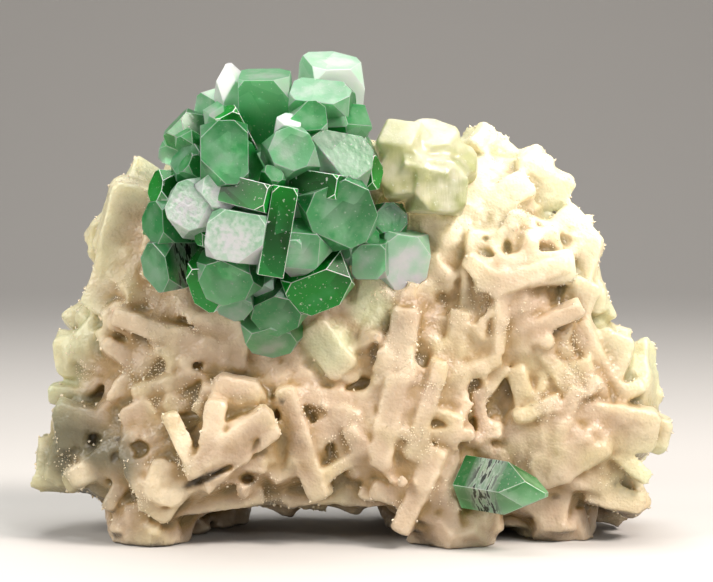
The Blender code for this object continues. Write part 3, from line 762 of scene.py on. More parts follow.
EVEN = (0.9, 1.0, 0.85)
LONE_BODY = Apophyllite(
    "44B458", "107A26", "A0DCA8", 0.42, "46B060", 40.0, 0.72, 0.03, ghosts=0.5
)
CLOUDY_BODY = Apophyllite("50C472", "08782A", "AEE8BC", 0.5, "4CB478", 40.0, 0.76, 0.03)
FINISHES = {
    Tone.ICE: Apophyllite(
        "CEF4D8", "80D29A", "FCFFFC", 0.55, "98DCAC", 14.0, 0.62, 0.04, 0.15, EVEN
    ),
    Tone.PALE: Apophyllite("92E4A8", "24A84C", "DEFAE2", 0.45, "6CCC8A", 30.0, 0.76),
    Tone.FRESH: Apophyllite("48CC6C", "057822", "A4EAB2", 0.4, "3FB868", 40.0, 0.78),
    Tone.CLOUDY: CLOUDY_BODY,
    # the darkest green, painted as shade where one looks deep into the ball; the gap crystals draw it at
    # random too
    Tone.DEEP: Apophyllite(
        "068A20", "013E06", "249440", 0.2, "1E8C3A", 230.0, 0.4, 0.02, 0.05,
        gloss=0.15, lines=0.03,
    ),  # fmt: skip
    Tone.FROSTED: Apophyllite(
        "B4DCBE", "78C48E", "FCFFFC", 0.6, "9EDEB0", 20.0, 0.6, 0.05, 0.35, EVEN, 0.9
    ),
    Tone.STREAKED: replace(CLOUDY_BODY, streaks=(-7.5, -2.0)),
    Tone.CREST: Apophyllite(
        "D8DAAE", "BCC288", "F2F0D4", 0.55, "D4D890", 20.0, 0.55, 0.1, 0.2, EVEN, ghosts=0.6
    ),
    Tone.LONE: replace(LONE_BODY, streaks=(-13.6, -8.6)),
}


@dataclass(frozen=True)
class Milk:
    """The cloudy, cracked roots of the crystals, where they have grown into each other."""

    colour: str = "BFE3C6"

    def material(self, name: str) -> bpy.types.Material:
        """Make the material, cloudy white-green with clouds 4 mm across."""
        made, node = blank(name)
        place = node("TexCoord", (), "Object")
        cloud = node("TexNoise", {"Vector": place, "Scale": 260.0, "Detail": 4.0})
        inputs = {
            "Base Color": layered(
                node, linear(self.colour), ((cloud, 0.0, 1.0, 0.0, 1.0, "F0F8EC"),)
            ),
            "Roughness": 0.45,
            "IOR": 1.53,
            "Subsurface Weight": 0.6,
            "Subsurface Radius": (0.5, 1.0, 0.7),
            "Subsurface Scale": 0.002,
        }
        node("OutputMaterial", (node("BsdfPrincipled", inputs),))
        return made


# --- the crystals ---------------------------------------------------------------------------


END_PLANE = 4  # where the flat end stands among a crystal's planes
CORNER_KEYS = ("place", "painted_lee_glow")  # what a crystal stores for each corner, not for each face


class Crystal(NamedTuple):
    """A four-sided apophyllite prism with a flat end and a pyramid face over each prism edge.

    x, y, z: the middle of its end, from its group's origin. heading: the way its long axis
    points, 0 to the front and 90 to the right. lift: how far that axis points up. spin: turn
    about the axis. wide, high: half the distance between opposite prism faces. length: end to
    root. corners: how far down each prism edge its pyramid face starts, in the order upper
    right, upper left, lower left, lower right for a crystal that points to the front.
    bright: planes with a painted reflection of a light. dark: planes painted dark, as the
    shade that shows through the crystal.
    """

    x: float
    y: float
    z: float
    heading: float
    lift: float
    spin: float
    wide: float
    high: float
    length: float
    corners: tuple[float, float, float, float]
    tone: Tone = Tone.FRESH
    bright: tuple[int, ...] = ()
    dark: tuple[int, ...] = ()

    def axes(self) -> np.ndarray:
        """Rows of unit vectors: the two directions across the prism, and its long axis."""
        turned, raised, spun = (math.radians(a) for a in (self.heading, self.lift, self.spin))
        forward = math.cos(raised)
        long_axis = np.array(
            (math.sin(turned) * forward, -math.cos(turned) * forward, math.sin(raised))
        )
        level = np.array((math.cos(turned), math.sin(turned), 0.0))
        upright = np.cross(long_axis, level)
        first = math.cos(spun) * level + math.sin(spun) * upright
        return np.array((first, np.cross(long_axis, first), long_axis))

    def facets(self, origin: Sequence[float]) -> Facets:
        """The crystal's ten planes.

        A pyramid plane's normal leans 60.4 degrees from the long axis towards a prism edge,
        and the plane passes that edge as far down it as corners says.

        Args:
            origin: its group's origin.

        Returns:
            The solid.
        """
        first, second, long_axis = self.axes()
        normals = [first, -first, second, -second, long_axis, -long_axis]
        distances = [self.wide, self.wide, self.high, self.high, 0.0, self.length]
        tilt = math.radians(60.4)
        across, down = math.sin(tilt) / math.sqrt(2), math.cos(tilt)
        for (side, over), depth in zip(((1, 1), (-1, 1), (-1, -1), (1, -1)), self.corners):
            normals.append(across * (side * first + over * second) + down * long_axis)
            distances.append(across * (self.wide + self.high) - down * depth)
        middle = np.array(origin) + (self.x, self.y, self.z)
        return Facets(np.array(normals), np.array(distances), middle)


LIGHT_SIDE = np.array((0.35, -0.25, 0.9))  # most light comes to the specimen from here
CLUSTER_CENTRE = (-16.5, -13.0, 62.0)
CLUSTER_CORE = 13.0
ICE, PALE, FRESH, CLOUDY = Tone.ICE, Tone.PALE, Tone.FRESH, Tone.CLOUDY
DEEP, FROSTED, CREST, LONE = Tone.DEEP, Tone.FROSTED, Tone.CREST, Tone.LONE
STREAKED = Tone.STREAKED

CLUSTER_CRYSTALS = tuple(
    Crystal(*row)
    for row in (
        # top row, from the left
        (-6, -4, 26.6, -25, 74, 45, 2.8, 2.8, 13, (6.2, 6.2, 6.2, 6.2), ICE, (8,)),
        (-8.6, -9, 18.6, -45, 55, 20, 2.2, 2.4, 10, (3, 3, 3, 3), PALE),
        (0.6, -5, 24.6, -4, 76, 2, 4.6, 4.6, 15, (2.6, 1.6, 1.4, 3.4), PALE),
        (13, -2, 27.2, 14, 68, 6, 4.9, 4.6, 15, (4.4, 2, 2.6, 4), ICE, (3,)),
        (10.8, -9.5, 21.6, -6, 46, -9, 5.5, 3, 12, (2.6, 1.6, 1.8, 3.2), PALE),
        # second row
        (8.6, -13.6, 17.2, 4, 32, 4, 3.3, 3.1, 11, (2, 4.4, 2.2, 1.6), FRESH, (), (3,)),
        (17.2, -9, 17.4, 38, 34, 40, 3.9, 3.9, 13, (5.6, 5, 5.6, 5), FRESH),
        (-6, -20.6, 10.8, 4, 14, 0, 4.2, 5.8, 14, (3, 4, 5.6, 2.6), CLOUDY, (), (8, 9)),
        (14, -15.4, 10.4, 16, 22, -11, 6.4, 4.2, 14, (3, 4, 9.4, 3.4), CLOUDY, (8,)),
        (5.8, -19.4, 11.4, 4, 20, 22, 4, 4, 12, (3.4, 3.4, 3.4, 3.4), PALE),
        (-13.8, -9.5, 9.4, -44, 36, 10, 3.3, 3.3, 12, (2.8, 2.8, 3.4, 2.8), CLOUDY),
        # third row
        (-19.2, -7.6, 4.2, -64, 14, 12, 3.2, 3.3, 12, (3.2, 2.6, 3.4, 2.6), DEEP),
        (-12.6, -18.8, 1.4, -22, 6, 18, 4.5, 4.5, 13, (4.2, 4.6, 4.4, 4.8), FROSTED, (9,)),
        (-6.4, -20.2, 4.2, 12, 6, 36, 3.4, 3.6, 12, (3, 2.6, 3, 2.6), FROSTED),
        (2.4, -21.2, 2.4, 66, -12, -8, 3, 2.5, 9, (1.6, 1, 1.6, 1.2), DEEP),
        (14.6, -17, 4.4, 70, -8, -4, 3, 2.2, 9, (1.4, 1, 1.2, 1.4), DEEP),
        (21, -7.8, 7, 66, 2, 10, 2.6, 3.1, 12, (3.2, 2.2, 2.2, 3), DEEP),
        # fourth row
        (-19.6, -9.4, -2.2, -52, 2, 8, 3.4, 3.9, 12, (2.4, 3.2, 4, 2.4), FRESH),
        (-4.2, -22.6, -4, -9, 0, -9, 5.2, 4.5, 14, (2, 3.6, 3.2, 4.8), FROSTED, (9,)),
        (4.6, -20.4, 4.8, 88, 80, 10, 2, 2.3, 16, (1, 1.4, 1.2, 1.4), DEEP),
        (7, -19.8, -6.6, 2, -4, 40, 4.4, 4.4, 13, (5.4, 5, 5.4, 4.6), PALE, (), (7,)),
        (14.8, -18, -0.6, 20, -4, 22, 6.2, 6, 15, (4.4, 3.6, 7, 4.6), CLOUDY, (), (8, 7)),
        (23.6, -3, -1.4, 12, 10, 2, 3, 2.8, 10, (3, 2.6, 1.6, 2), FRESH, (), (6, 7)),
        (20.2, -8.4, -4.8, 42, 0, 4, 1.6, 1.3, 13, (0.8, 0.8, 0.8, 0.8), FRESH),
        # fifth row and the underside
        (-19.2, -10, -10.2, -44, -10, 4, 3.4, 4.6, 13, (3.4, 3.4, 4, 3), STREAKED),
        (-5.8, -19.4, -12.2, -8, -20, 18, 4.7, 4.2, 13, (5, 3, 3, 3.4), FRESH),
        (-10.2, -16, -14, -22, -28, 6, 2.5, 4.6, 12, (2.4, 2.4, 2.8, 2.2), DEEP),
        (-4.4, -15, -17.4, 2, -38, 12, 3.2, 2.8, 11, (2.4, 2.4, 3, 3), PALE),
        (10.8, -15.6, -14.2, 10, -26, 24, 5.9, 4, 13, (4.2, 2.2, 3.4, 4.6), DEEP),
        (2.8, -13.6, -18.8, -6, -34, 30, 4.3, 4, 12, (2.4, 2.8, 2.4, 2.8), FRESH),
        (1.8, -9.2, -24, 0, -46, 24, 4.4, 4, 12, (3.6, 3, 3.6, 3), PALE, (8,)),
        (19.4, -9.4, -9.2, -6, -6, 0, 3.1, 3.2, 13, (1.2, 2.2, 1.2, 2), PALE),
        (26.2, -3.6, -9.8, 14, -10, -8, 4.5, 5.2, 11, (4, 2.6, 4.2, 3.8), ICE, (9,)),
        # over the top and behind
        (-16, 0, 16, -80, 44, 30, 3.4, 3.6, 14, (3.4, 3.4, 3.4, 3.4), FRESH),
        (-9, 5, 21, -140, 60, 10, 3.8, 3.6, 14, (4.4, 3, 4, 3.2), PALE),
        (-14, 9, 14.5, -130, 38, 38, 3.4, 3.4, 13, (3, 3.8, 3, 3.8), DEEP),
        (0.5, 7.5, 21.5, 172, 56, 24, 4.2, 4, 14, (6, 6, 6, 6), FRESH),
        (-5, 13, 15, -165, 34, 4, 3.6, 3.6, 13, (3.2, 2.6, 3.2, 2.6), CLOUDY),
        (9.5, 6.5, 20, 150, 58, 40, 3.6, 3.8, 14, (3.4, 3.4, 3.4, 3.4), PALE),
        (7, 12.5, 15, 165, 32, 14, 3.4, 3.6, 13, (5, 4.4, 5, 4.4), FRESH),
        (17, 4, 17, 110, 46, 12, 3.6, 3.6, 14, (3, 4, 3, 4), FRESH),
        (20, -1, 11.5, 84, 26, 34, 3.2, 3.2, 13, (2.8, 2.8, 2.8, 2.8), CLOUDY),
    )
)  # fmt: skip


def gap_crystals() -> tuple[Crystal, ...]:
    """Small crystals in the gaps of the ball, drawn at random all over it.

    Their directions are spread by the golden angle, and each points away from the ball's
    middle, a little askew.
    """
    draw = np.random.default_rng(SEED + 5)
    made = []
    count = 64
    for index in range(count):
        up = 1.0 - 2.0 * (index + 0.5) / count
        turn = index * GOLDEN_ANGLE
        lift = math.degrees(math.asin(up))
        level = math.cos(math.radians(lift))
        out = np.array(
            (level * math.sin(math.radians(turn)), -level * math.cos(math.radians(turn)), up)
        )
        reach = draw.uniform(18.0, 22.5)
        wide, high = draw.uniform(1.3, 2.6, 2)
        corners = tuple(draw.uniform(0.8, 2.6, 4))
        askew = draw.uniform(-18.0, 18.0, 2)
        spin = draw.uniform(0.0, 90.0)
        tone = (Tone.PALE, Tone.FRESH, Tone.ICE, Tone.DEEP)[draw.integers(4)]
        x, y, z = out * reach
        made.append(
            Crystal(
                x, y, z, turn + askew[0], lift + askew[1], spin, wide, high, 9.0, corners, tone
            )
        )
    return tuple(made)


CREST_ORIGIN = (13.0, -12.0, 70.0)
CREST_CRYSTALS = tuple(
    Crystal(*row)
    for row in (
        (-4.5, -2.5, 6.4, -16, 44, 36, 4.6, 4.4, 15, (6.4, 5.4, 5, 5.6), CREST),
        (2.2, 0.5, 6.2, 8, 58, 12, 4.6, 4.2, 14, (4, 3.4, 3, 4.4), CREST),
        (7, -0.5, 1.6, 30, 34, 20, 3.8, 3.6, 13, (3.4, 2.8, 3, 3.8), CREST),
        (-4, -5.4, -0.9, -10, 10, 8, 4.2, 4.2, 13, (3, 3.6, 3, 3), CREST),
        (3.4, -5.6, -3.6, 12, 6, -6, 4.8, 4.8, 13, (4, 3, 3.6, 3), CREST),
        (0, 7, 5.4, 176, 40, 18, 4.2, 4.2, 14, (4, 4, 4, 4), CREST),
    )
)  # fmt: skip

SINGLE_ORIGIN = (35.0, -26.0, 11.0)
SINGLE_CRYSTALS = tuple(
    Crystal(*row)
    for row in (
        (0, 0, 0, 64, -5, 45, 3.5, 3.5, 16.5, (8, 7.4, 8, 7.4), LONE),
    )
)  # fmt: skip


@dataclass
class Crystals:
    """Crystals that stand for one node of the frame.

    Attributes:
        origin: the point that the crystals are placed from.
        crystals: the crystals.
    """

    origin: tuple[float, float, float]
    crystals: tuple[Crystal, ...]

    def solids(self) -> list[Facets]:
        """The crystals as convex solids."""
        return [crystal.facets(self.origin) for crystal in self.crystals]


@dataclass
class CrystalGroup(Crystals):
    """Clear crystals, one piece to each of their greens.

    Attributes:
        node: the frame's node.
        slot: the record's material slot; not used.
        bevel: width of the worn edges.
    """

    node: str = "apophyllite_cluster"
    slot: str = "apophyllite_green"
    bevel: float = 0.085

    def piece(self, tone: Tone, crystals: Sequence[Crystal]) -> bpy.types.Object:
        """Build the crystals of one green as one mesh of closed shells.

        Args:
            tone: the green.
            crystals: the crystals that have it.

        Returns:
            The object.
        """
        points, faces, start = [], [], 0
        stored = defaultdict(list)
        draw = np.random.default_rng(SEED + len(self.node) + len(tone.value))
        for number, crystal in enumerate(crystals):
            solid = crystal.facets(self.origin)
            corners, rings = solid.hull(self.bevel)
            away = corners - solid.middle
            local = away @ crystal.axes().T
            middles = np.array([local[ring].mean(axis=0) for ring in rings])
            offsets = solid.distances - (middles @ crystal.axes()) @ solid.normals.T
            edge, plane = offsets.min(axis=1) > self.bevel / 10, offsets.argmin(axis=1)
            # each face is painted lighter or darker for what it shows through the crystal, as painted
            # shade and reflection: the prism faces darker, the pyramid faces lighter, the end the least
            shade = draw.uniform(-1.0, 1.0, len(solid.normals))
            shade[:END_PLANE] -= 0.5
            shade[END_PLANE] *= 0.3
            shade[END_PLANE + 2 :] += 0.5
            # a painted reflection of a light on the bright planes, painted shade on the dark ones
            shade[list(crystal.bright)] = 2.0
            shade[list(crystal.dark)] = -1.2
            # painted light and shade: the side of each crystal away from the light is painted lighter, the
            # side towards it darker
            painted_lee_glow = -away @ LIGHT_SIDE * 2.0 / (crystal.wide + crystal.high)
            half = (crystal.wide, crystal.high, crystal.length)
            for key, values in (
                ("place", local),
                ("painted_lee_glow", np.clip(painted_lee_glow, -1.3, 1.3)),
                ("end", (plane == END_PLANE) & ~edge),
                ("edge", edge),
                ("shade", shade[plane]),
                ("half", np.tile(half, (len(rings), 1))),
                ("seed", np.full(len(rings), number * 17.0)),
            ):
                stored[key].append(values)
            points.append(corners)
            faces += [[start + index for index in ring] for ring in rings]
            start += len(corners)
        finish = FINISHES[tone].material(f"apophyllite_{tone.value}_{self.node.split('_')[1]}")
        made = mesh_object(f"{self.node}_{tone.value}", np.concatenate(points), faces, finish)
        for key, parts in stored.items():
            give(made.data, key, np.concatenate(parts), "POINT" if key in CORNER_KEYS else "FACE")
        return made

    def build(self) -> list[bpy.types.Object]:
        """Build one piece for each green in the group."""
        pieces = []
        for tone in Tone:
            chosen = [crystal for crystal in self.crystals if crystal.tone is tone]
            if not chosen:
                continue
            made = self.piece(tone, chosen)
            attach(made, "root")
            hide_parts(self.node)
            pieces.append(made)
        return pieces


@dataclass
class FusedCrest(Crystals):
    """The pale crystals of the crest, grown into one another: one skin with soft seams.

    Attributes:
        step: spacing of the grid that it is worked out on.
        fillet: how far the seams are filled.
        softness: how far the edges are rounded.
    """

    step: float = 0.32
    fillet: float = 1.0
    softness: float = 0.08

    def build(self) -> list[bpy.types.Object]:
        """Build it as one piece."""
        solids = self.solids()
        corners = np.concatenate([solid.corners() for solid in solids])
        margin = 4 * self.step
        stone = StoneField(corners.min(axis=0) - margin, corners.max(axis=0) + margin, self.step)
        for solid in solids:
            stone.join(solid, self.softness, self.fillet)
        stone.roughen(((0.05, 2.0),), 2.0)
        points, quads = stone.skin()
        points = relaxed(points, quads, 0.5)
        finish = FINISHES[Tone.CREST].material("apophyllite_crest")
        made = mesh_object("apophyllite_crest_fused", points, quads, finish)
        made.data.shade_smooth()
        count = len(points)
        give(made.data, "place", points - self.origin - (0.0, 0.0, 6.0))
        give(made.data, "half", np.full((count, 3), 12.0))
        give(made.data, "shade", wander(points / 3.0, SEED + 7))
        for key in ("end", "edge", "seed", "painted_lee_glow"):
            give(made.data, key, np.zeros(count))
        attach(made, "root")
        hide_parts("apophyllite_crest")
        return [made]


# --- the lump -------------------------------------------------------------------------------


class Blade(NamedTuple):
    """A stilbite blade: a flat tablet with cut corners, half sunk in the lump.

    x, z: its middle. turn: its long axis from +X, anticlockwise from the front.
    rise: how far its long axis tips out of the face. roll: its turn about that axis.
    proud: how far its middle stands off the face.
    """

    x: float
    z: float
    turn: float
    length: float
    width: float
    thickness: float
    rise: float = 0.0
    roll: float = 0.0
    proud: float = 0.6

    def facets(self, middle: np.ndarray, outward: np.ndarray, level: np.ndarray) -> Facets:
        """The blade's ten planes.

        Args:
            middle: the point of the surface under its middle.
            outward: the way that surface faces.
            level: the direction that its turn is measured from.

        Returns:
            The solid.
        """
        turned, risen, rolled = (math.radians(a) for a in (self.turn, self.rise, self.roll))
        flat = math.cos(turned) * level + math.sin(turned) * np.cross(outward, level)
        across = np.cross(outward, flat)
        long_axis = math.cos(risen) * flat + math.sin(risen) * outward
        broad = math.cos(rolled) * across + math.sin(rolled) * np.cross(long_axis, across)
        normal = np.cross(long_axis, broad)
        half = np.array((self.length, self.width, self.thickness)) / 2
        normals = [long_axis, -long_axis, broad, -broad, normal, -normal]
        distances = list(np.repeat(half, 2))
        cut = 0.14 * min(self.width, self.length)
        for along, over in itertools.product((-1, 1), repeat=2):
            normals.append((along * long_axis + over * broad) / math.sqrt(2))
            distances.append((half[0] + half[1] - cut) / math.sqrt(2))
        centre = middle + (self.proud - 0.35 * self.thickness) * outward
        return Facets(np.array(normals), np.array(distances), centre)


FRONT_BLADES = tuple(
    Blade(*row)
    for row in (
        # left lobe, from its top down
        (-43, 60, 72, 13, 8.5, 4, 4, 10), (-44.5, 48.5, 80, 11, 8, 4.5, -6, -12),
        (-49, 34.8, 5, 11.5, 8.5, 5, 5, 8), (-38, 40, 160, 13, 6, 3.5, 12, 15),
        (-50.5, 26.6, -8, 11, 4.6, 4, 0, 14), (-46, 22.2, -12, 13, 4.8, 4, 4, -16, 1.2),
        (-54.5, 15, 66, 7.5, 5, 4, 0, 10), (-49.5, 12.4, 25, 7, 4.8, 4, 10, 0),
        (-37, 20.5, -62, 12, 7.5, 4, 0, 22), (-42.5, 8, -28, 11, 5, 5, 0, -14),
        (-33.5, 11, 58, 10.5, 7.5, 4.5, 0, -8, 2.4),
        # the spray of blades low on the left
        (-30.6, 19, 112, 12, 3.8, 3.6, 8, 20, 3), (-25.4, 20.6, 82, 13, 4.8, 4.2, 8, -10, 2.6),
        (-20.5, 19.2, 38, 13.5, 5.6, 4.4, 6, 14, 2), (-22.5, 26.4, -8, 9.6, 6.2, 4.6, 0, -12, 1.4),
        (-25, 8.6, 9, 15, 4.2, 4.6, 0, 20, 2.2), (-14, 8.8, 2, 13, 4, 5, 0, -14, 1.2),
        # middle
        (-23.2, 35, 88, 12.5, 6, 4, 0, -20, 1), (-15.6, 28.8, 4, 10, 6, 4.2, 0, 12, 1.4),
        (-5, 36, -58, 13, 8.5, 4.4, 8, 10, 0.8), (-9, 19.5, -72, 19, 5.2, 4.4, 0, 24, 1.4),
        (-3.4, 22.6, 40, 8.5, 5.4, 4.4, 16, -14, 1.6), (-1.4, 26.8, -8, 15, 4.4, 4.4, 0, -22, 2),
        (3.4, 44.4, 84, 9.5, 6.6, 4, -6, 12, 0.8), (8.8, 34.5, 84, 17, 5.6, 5, 4, -18, 1),
        (6.6, 23.5, 79, 15, 5.2, 5, -6, -8, 1.2), (2.4, 10.6, 3, 9.5, 6.8, 4.6, 0, 12, 1),
        (12.4, 10.8, 64, 15, 4.8, 4.6, 0, -20, 1.2), (15.8, 41.4, 0, 12, 3.4, 5, 0, 12, 1.4),
        (18.4, 34.4, 80, 15.5, 4.6, 4.6, 0, -16, 1.2), (21.6, 49, 85, 16, 4.6, 4.4, 0, 22, 1.2),
        (24.4, 28.4, 52, 10, 2.4, 5, 0, 0, 1.4), (23.4, 23, 97, 10, 2.4, 5, 0, 12, 1.4),
        (14, 53, 76, 13, 5, 4, 0, -14, 0.8),
        # right
        (32, 27.4, -68, 10.5, 4.8, 4.6, 0, 18, 1.6), (31.4, 50.6, 6, 16, 6.8, 4.8, 0, -20, 1.4),
        (34, 65.5, 86, 11, 7, 5, 0, 14), (40.2, 58.4, 0, 8, 5.2, 5, 0, -10),
        (40, 42, 66, 13, 7, 4.6, 0, 16, 0.8), (47, 32.4, 68, 12, 7.8, 4.8, 0, -16, 0.4),
        (54.6, 27, -10, 6.5, 3.4, 4, 0, 0, -2), (53, 21.4, -18, 10.5, 7.6, 4.6, 0, 16),
        (50.4, 10.4, -60, 10.5, 6.6, 4.6, 0, -16), (40, 17, 30, 13, 7, 4.6, 0, 18, 1),
        (37.4, 7.4, 80, 9, 6.4, 4.8, 0, -12, 1),
    )
)  # fmt: skip

# more of the web between them, and the broad slabs of the lobes
WEB_BLADES = tuple(
    Blade(*row)
    for row in (
        (-33.3, 39.3, -17, 17.8, 3.3, 4, 4, 12, 0.6), (-21.6, 21.4, 35, 12.9, 3.1, 3.6, 6, 14, 1.6),
        (13.1, 25.6, -107, 15.1, 2.9, 3.8, 0, -14, 0.9), (12.5, 21.3, 0, 15.3, 2.2, 3.2, 0, 10, 0.6),
        (25.1, 50.1, -37, 8.7, 3.1, 3.8, 0, 14, 1), (32, 49.6, 18, 12.3, 3.3, 4.2, 0, -12, 1.2),
        (35.6, 41.5, 24, 11.2, 3.1, 3.8, 4, 14, 0.9), (26.6, 41.8, -92, 10, 2.2, 3.2, 0, -20, 0.8),
        (-47.3, 22.5, -22, 13.1, 3.3, 4, 0, 18, 0.4), (22, 32.6, 26, 8.9, 2.4, 3.6, 0, 12, 0.8),
        (37.7, 31.6, -58, 13.2, 2.7, 3.6, 0, -14, 0.7), (39.2, 24, -113, 9.3, 2.4, 3.4, 0, 14, 0.7),
        (45.6, 34.7, -62, 12.1, 2.9, 3.6, 0, 16, 0.5), (48.7, 16.6, -37, 11.9, 2.7, 3.4, 0, -10, 0.3),
        (9.3, 9.1, -22, 10, 3.6, 3.6, 0, 12, 0.4), (28, 3.5, -4, 15.7, 2.7, 3.6, 0, -8, 0.2),
        (14.7, 25.6, -22, 9.6, 2, 3, 4, 16, 0.5), (-13.7, 30.9, 47, 13.6, 2.7, 3.4, 0, -16, 0.3),
        (-0.3, 16.7, 31, 10.4, 2.5, 3.2, 0, 20, 0.4), (-15.4, 9.1, 11, 13.3, 2.4, 3.4, 0, -10, 0.3),
        (-34.8, 30.1, 17, 9.5, 2.5, 3.6, 0, 14, 0.4), (-41.6, 33.7, -40, 9.2, 2.7, 3.8, 0, -12, 0.3),
        (-42.9, 10.7, -120, 7.7, 2.4, 3.4, 0, 10, 0.3), (-33.6, 47.8, -32, 9.1, 2.7, 3.6, 0, -10, 0.3),
        (37.7, 57.1, -22, 9.8, 3.3, 4.2, 0, 10, 0.5), (43.7, 48.9, -74, 11.3, 3.1, 3.8, 0, -16, 0.3),
        (41.3, 15.5, 29, 9.9, 2.7, 3.4, 0, 14, 0.5), (49.5, 27.5, 25, 7.7, 2.7, 3.4, 0, -12, 0.2),
        (24.1, 17.6, 153, 7.4, 2.2, 3, 0, 0, 0.3), (-41.9, 59.8, 78, 10.9, 8.7, 5, 4, 8, 0.6),
        (-45.7, 48.9, 66, 10.2, 5.1, 4.6, 0, -14, 0.5), (-22.1, 37.5, 86, 8.4, 6.5, 4.4, 6, -8, 0.6),
        (-21.7, 27.6, -6, 9.4, 4.7, 4.2, 0, 14, 1.2), (-4.1, 36.4, -52, 8.4, 6.2, 4.4, 8, 12, 0.9),
        (-42.3, 42.5, 20, 6.2, 4.7, 4, 0, 10, 0.2), (42.2, 50.9, 76, 10.9, 5.8, 4.6, 0, -10, 0.4),
        (49.5, 22.2, -10, 10.9, 8, 4.4, 0, 10, 0.1), (48.6, 8.2, -14, 8.7, 4.4, 4.2, 0, -12, 0.2),
        (40.8, 16.6, 40, 7.3, 4.7, 4, 0, 10, 0.3), (35.7, 66.5, -24, 8.7, 6.2, 4.6, 0, 10, 0.3),
        (28.6, 64.4, 30, 8, 5.5, 4.4, 0, -12, 0.4), (-49.5, 13.5, 30, 5.5, 4, 4, 0, 8, 0.3),
        (-21.7, 25.8, 78, 9.6, 8.6, 3.4, 5, 6, 1.5), (-20.4, 23, 14, 10, 3.2, 3.4, 0, 10, 2.2),
        (-33.8, 12.4, 70, 6.4, 6.8, 4, 0, -6, 1.9),
    )
)  # fmt: skip


@dataclass(frozen=True)
class BladeSort:
    """Blades of one sort, drawn at random over one face of the lump.

    Attributes:
        side: -1 for the front, 1 for the back.
        count: how many there are.
        seed: what is added to the seed of the draws.
        sunk: how far they are sunk.
        askew: how far they stand off an even spread, in radians.
        reach: how far the spread goes along x and z.
        rise, roll: how far they are tipped either way.
        least, most: length, width and thickness.
        proud: least and most height above the face.
    """

    side: int
    count: int
    seed: int
    sunk: float = 0.0
    askew: float = 0.3
    reach: tuple[float, float] = (49.0, 30.0)
    rise: float = 14.0
    roll: float = 30.0
    least: tuple[float, float, float] = (4.0, 1.3, 2.0)
    most: tuple[float, float, float] = (9.0, 2.6, 3.6)
    proud: tuple[float, float] = (-0.3, 0.8)


DRAWN_BLADES = {-1: 21, 1: 26}  # how many large ones are drawn for the front and the back
DRAWN_REACH = (48.6, 30.6)
RIM_BLADES = 27
SMALL_FRONT = BladeSort(-1, 110, -1, sunk=0.3)
SMALL_BACK = BladeSort(1, 60, 1)
LARGE_BACK = BladeSort(
    1, 54, 8, 0.0, 0.4, (50.0, 31.0), 10.0, 24.0, (9.0, 2.4, 3.0), (16.0, 5.0, 4.4), (0.0, 1.1)
)


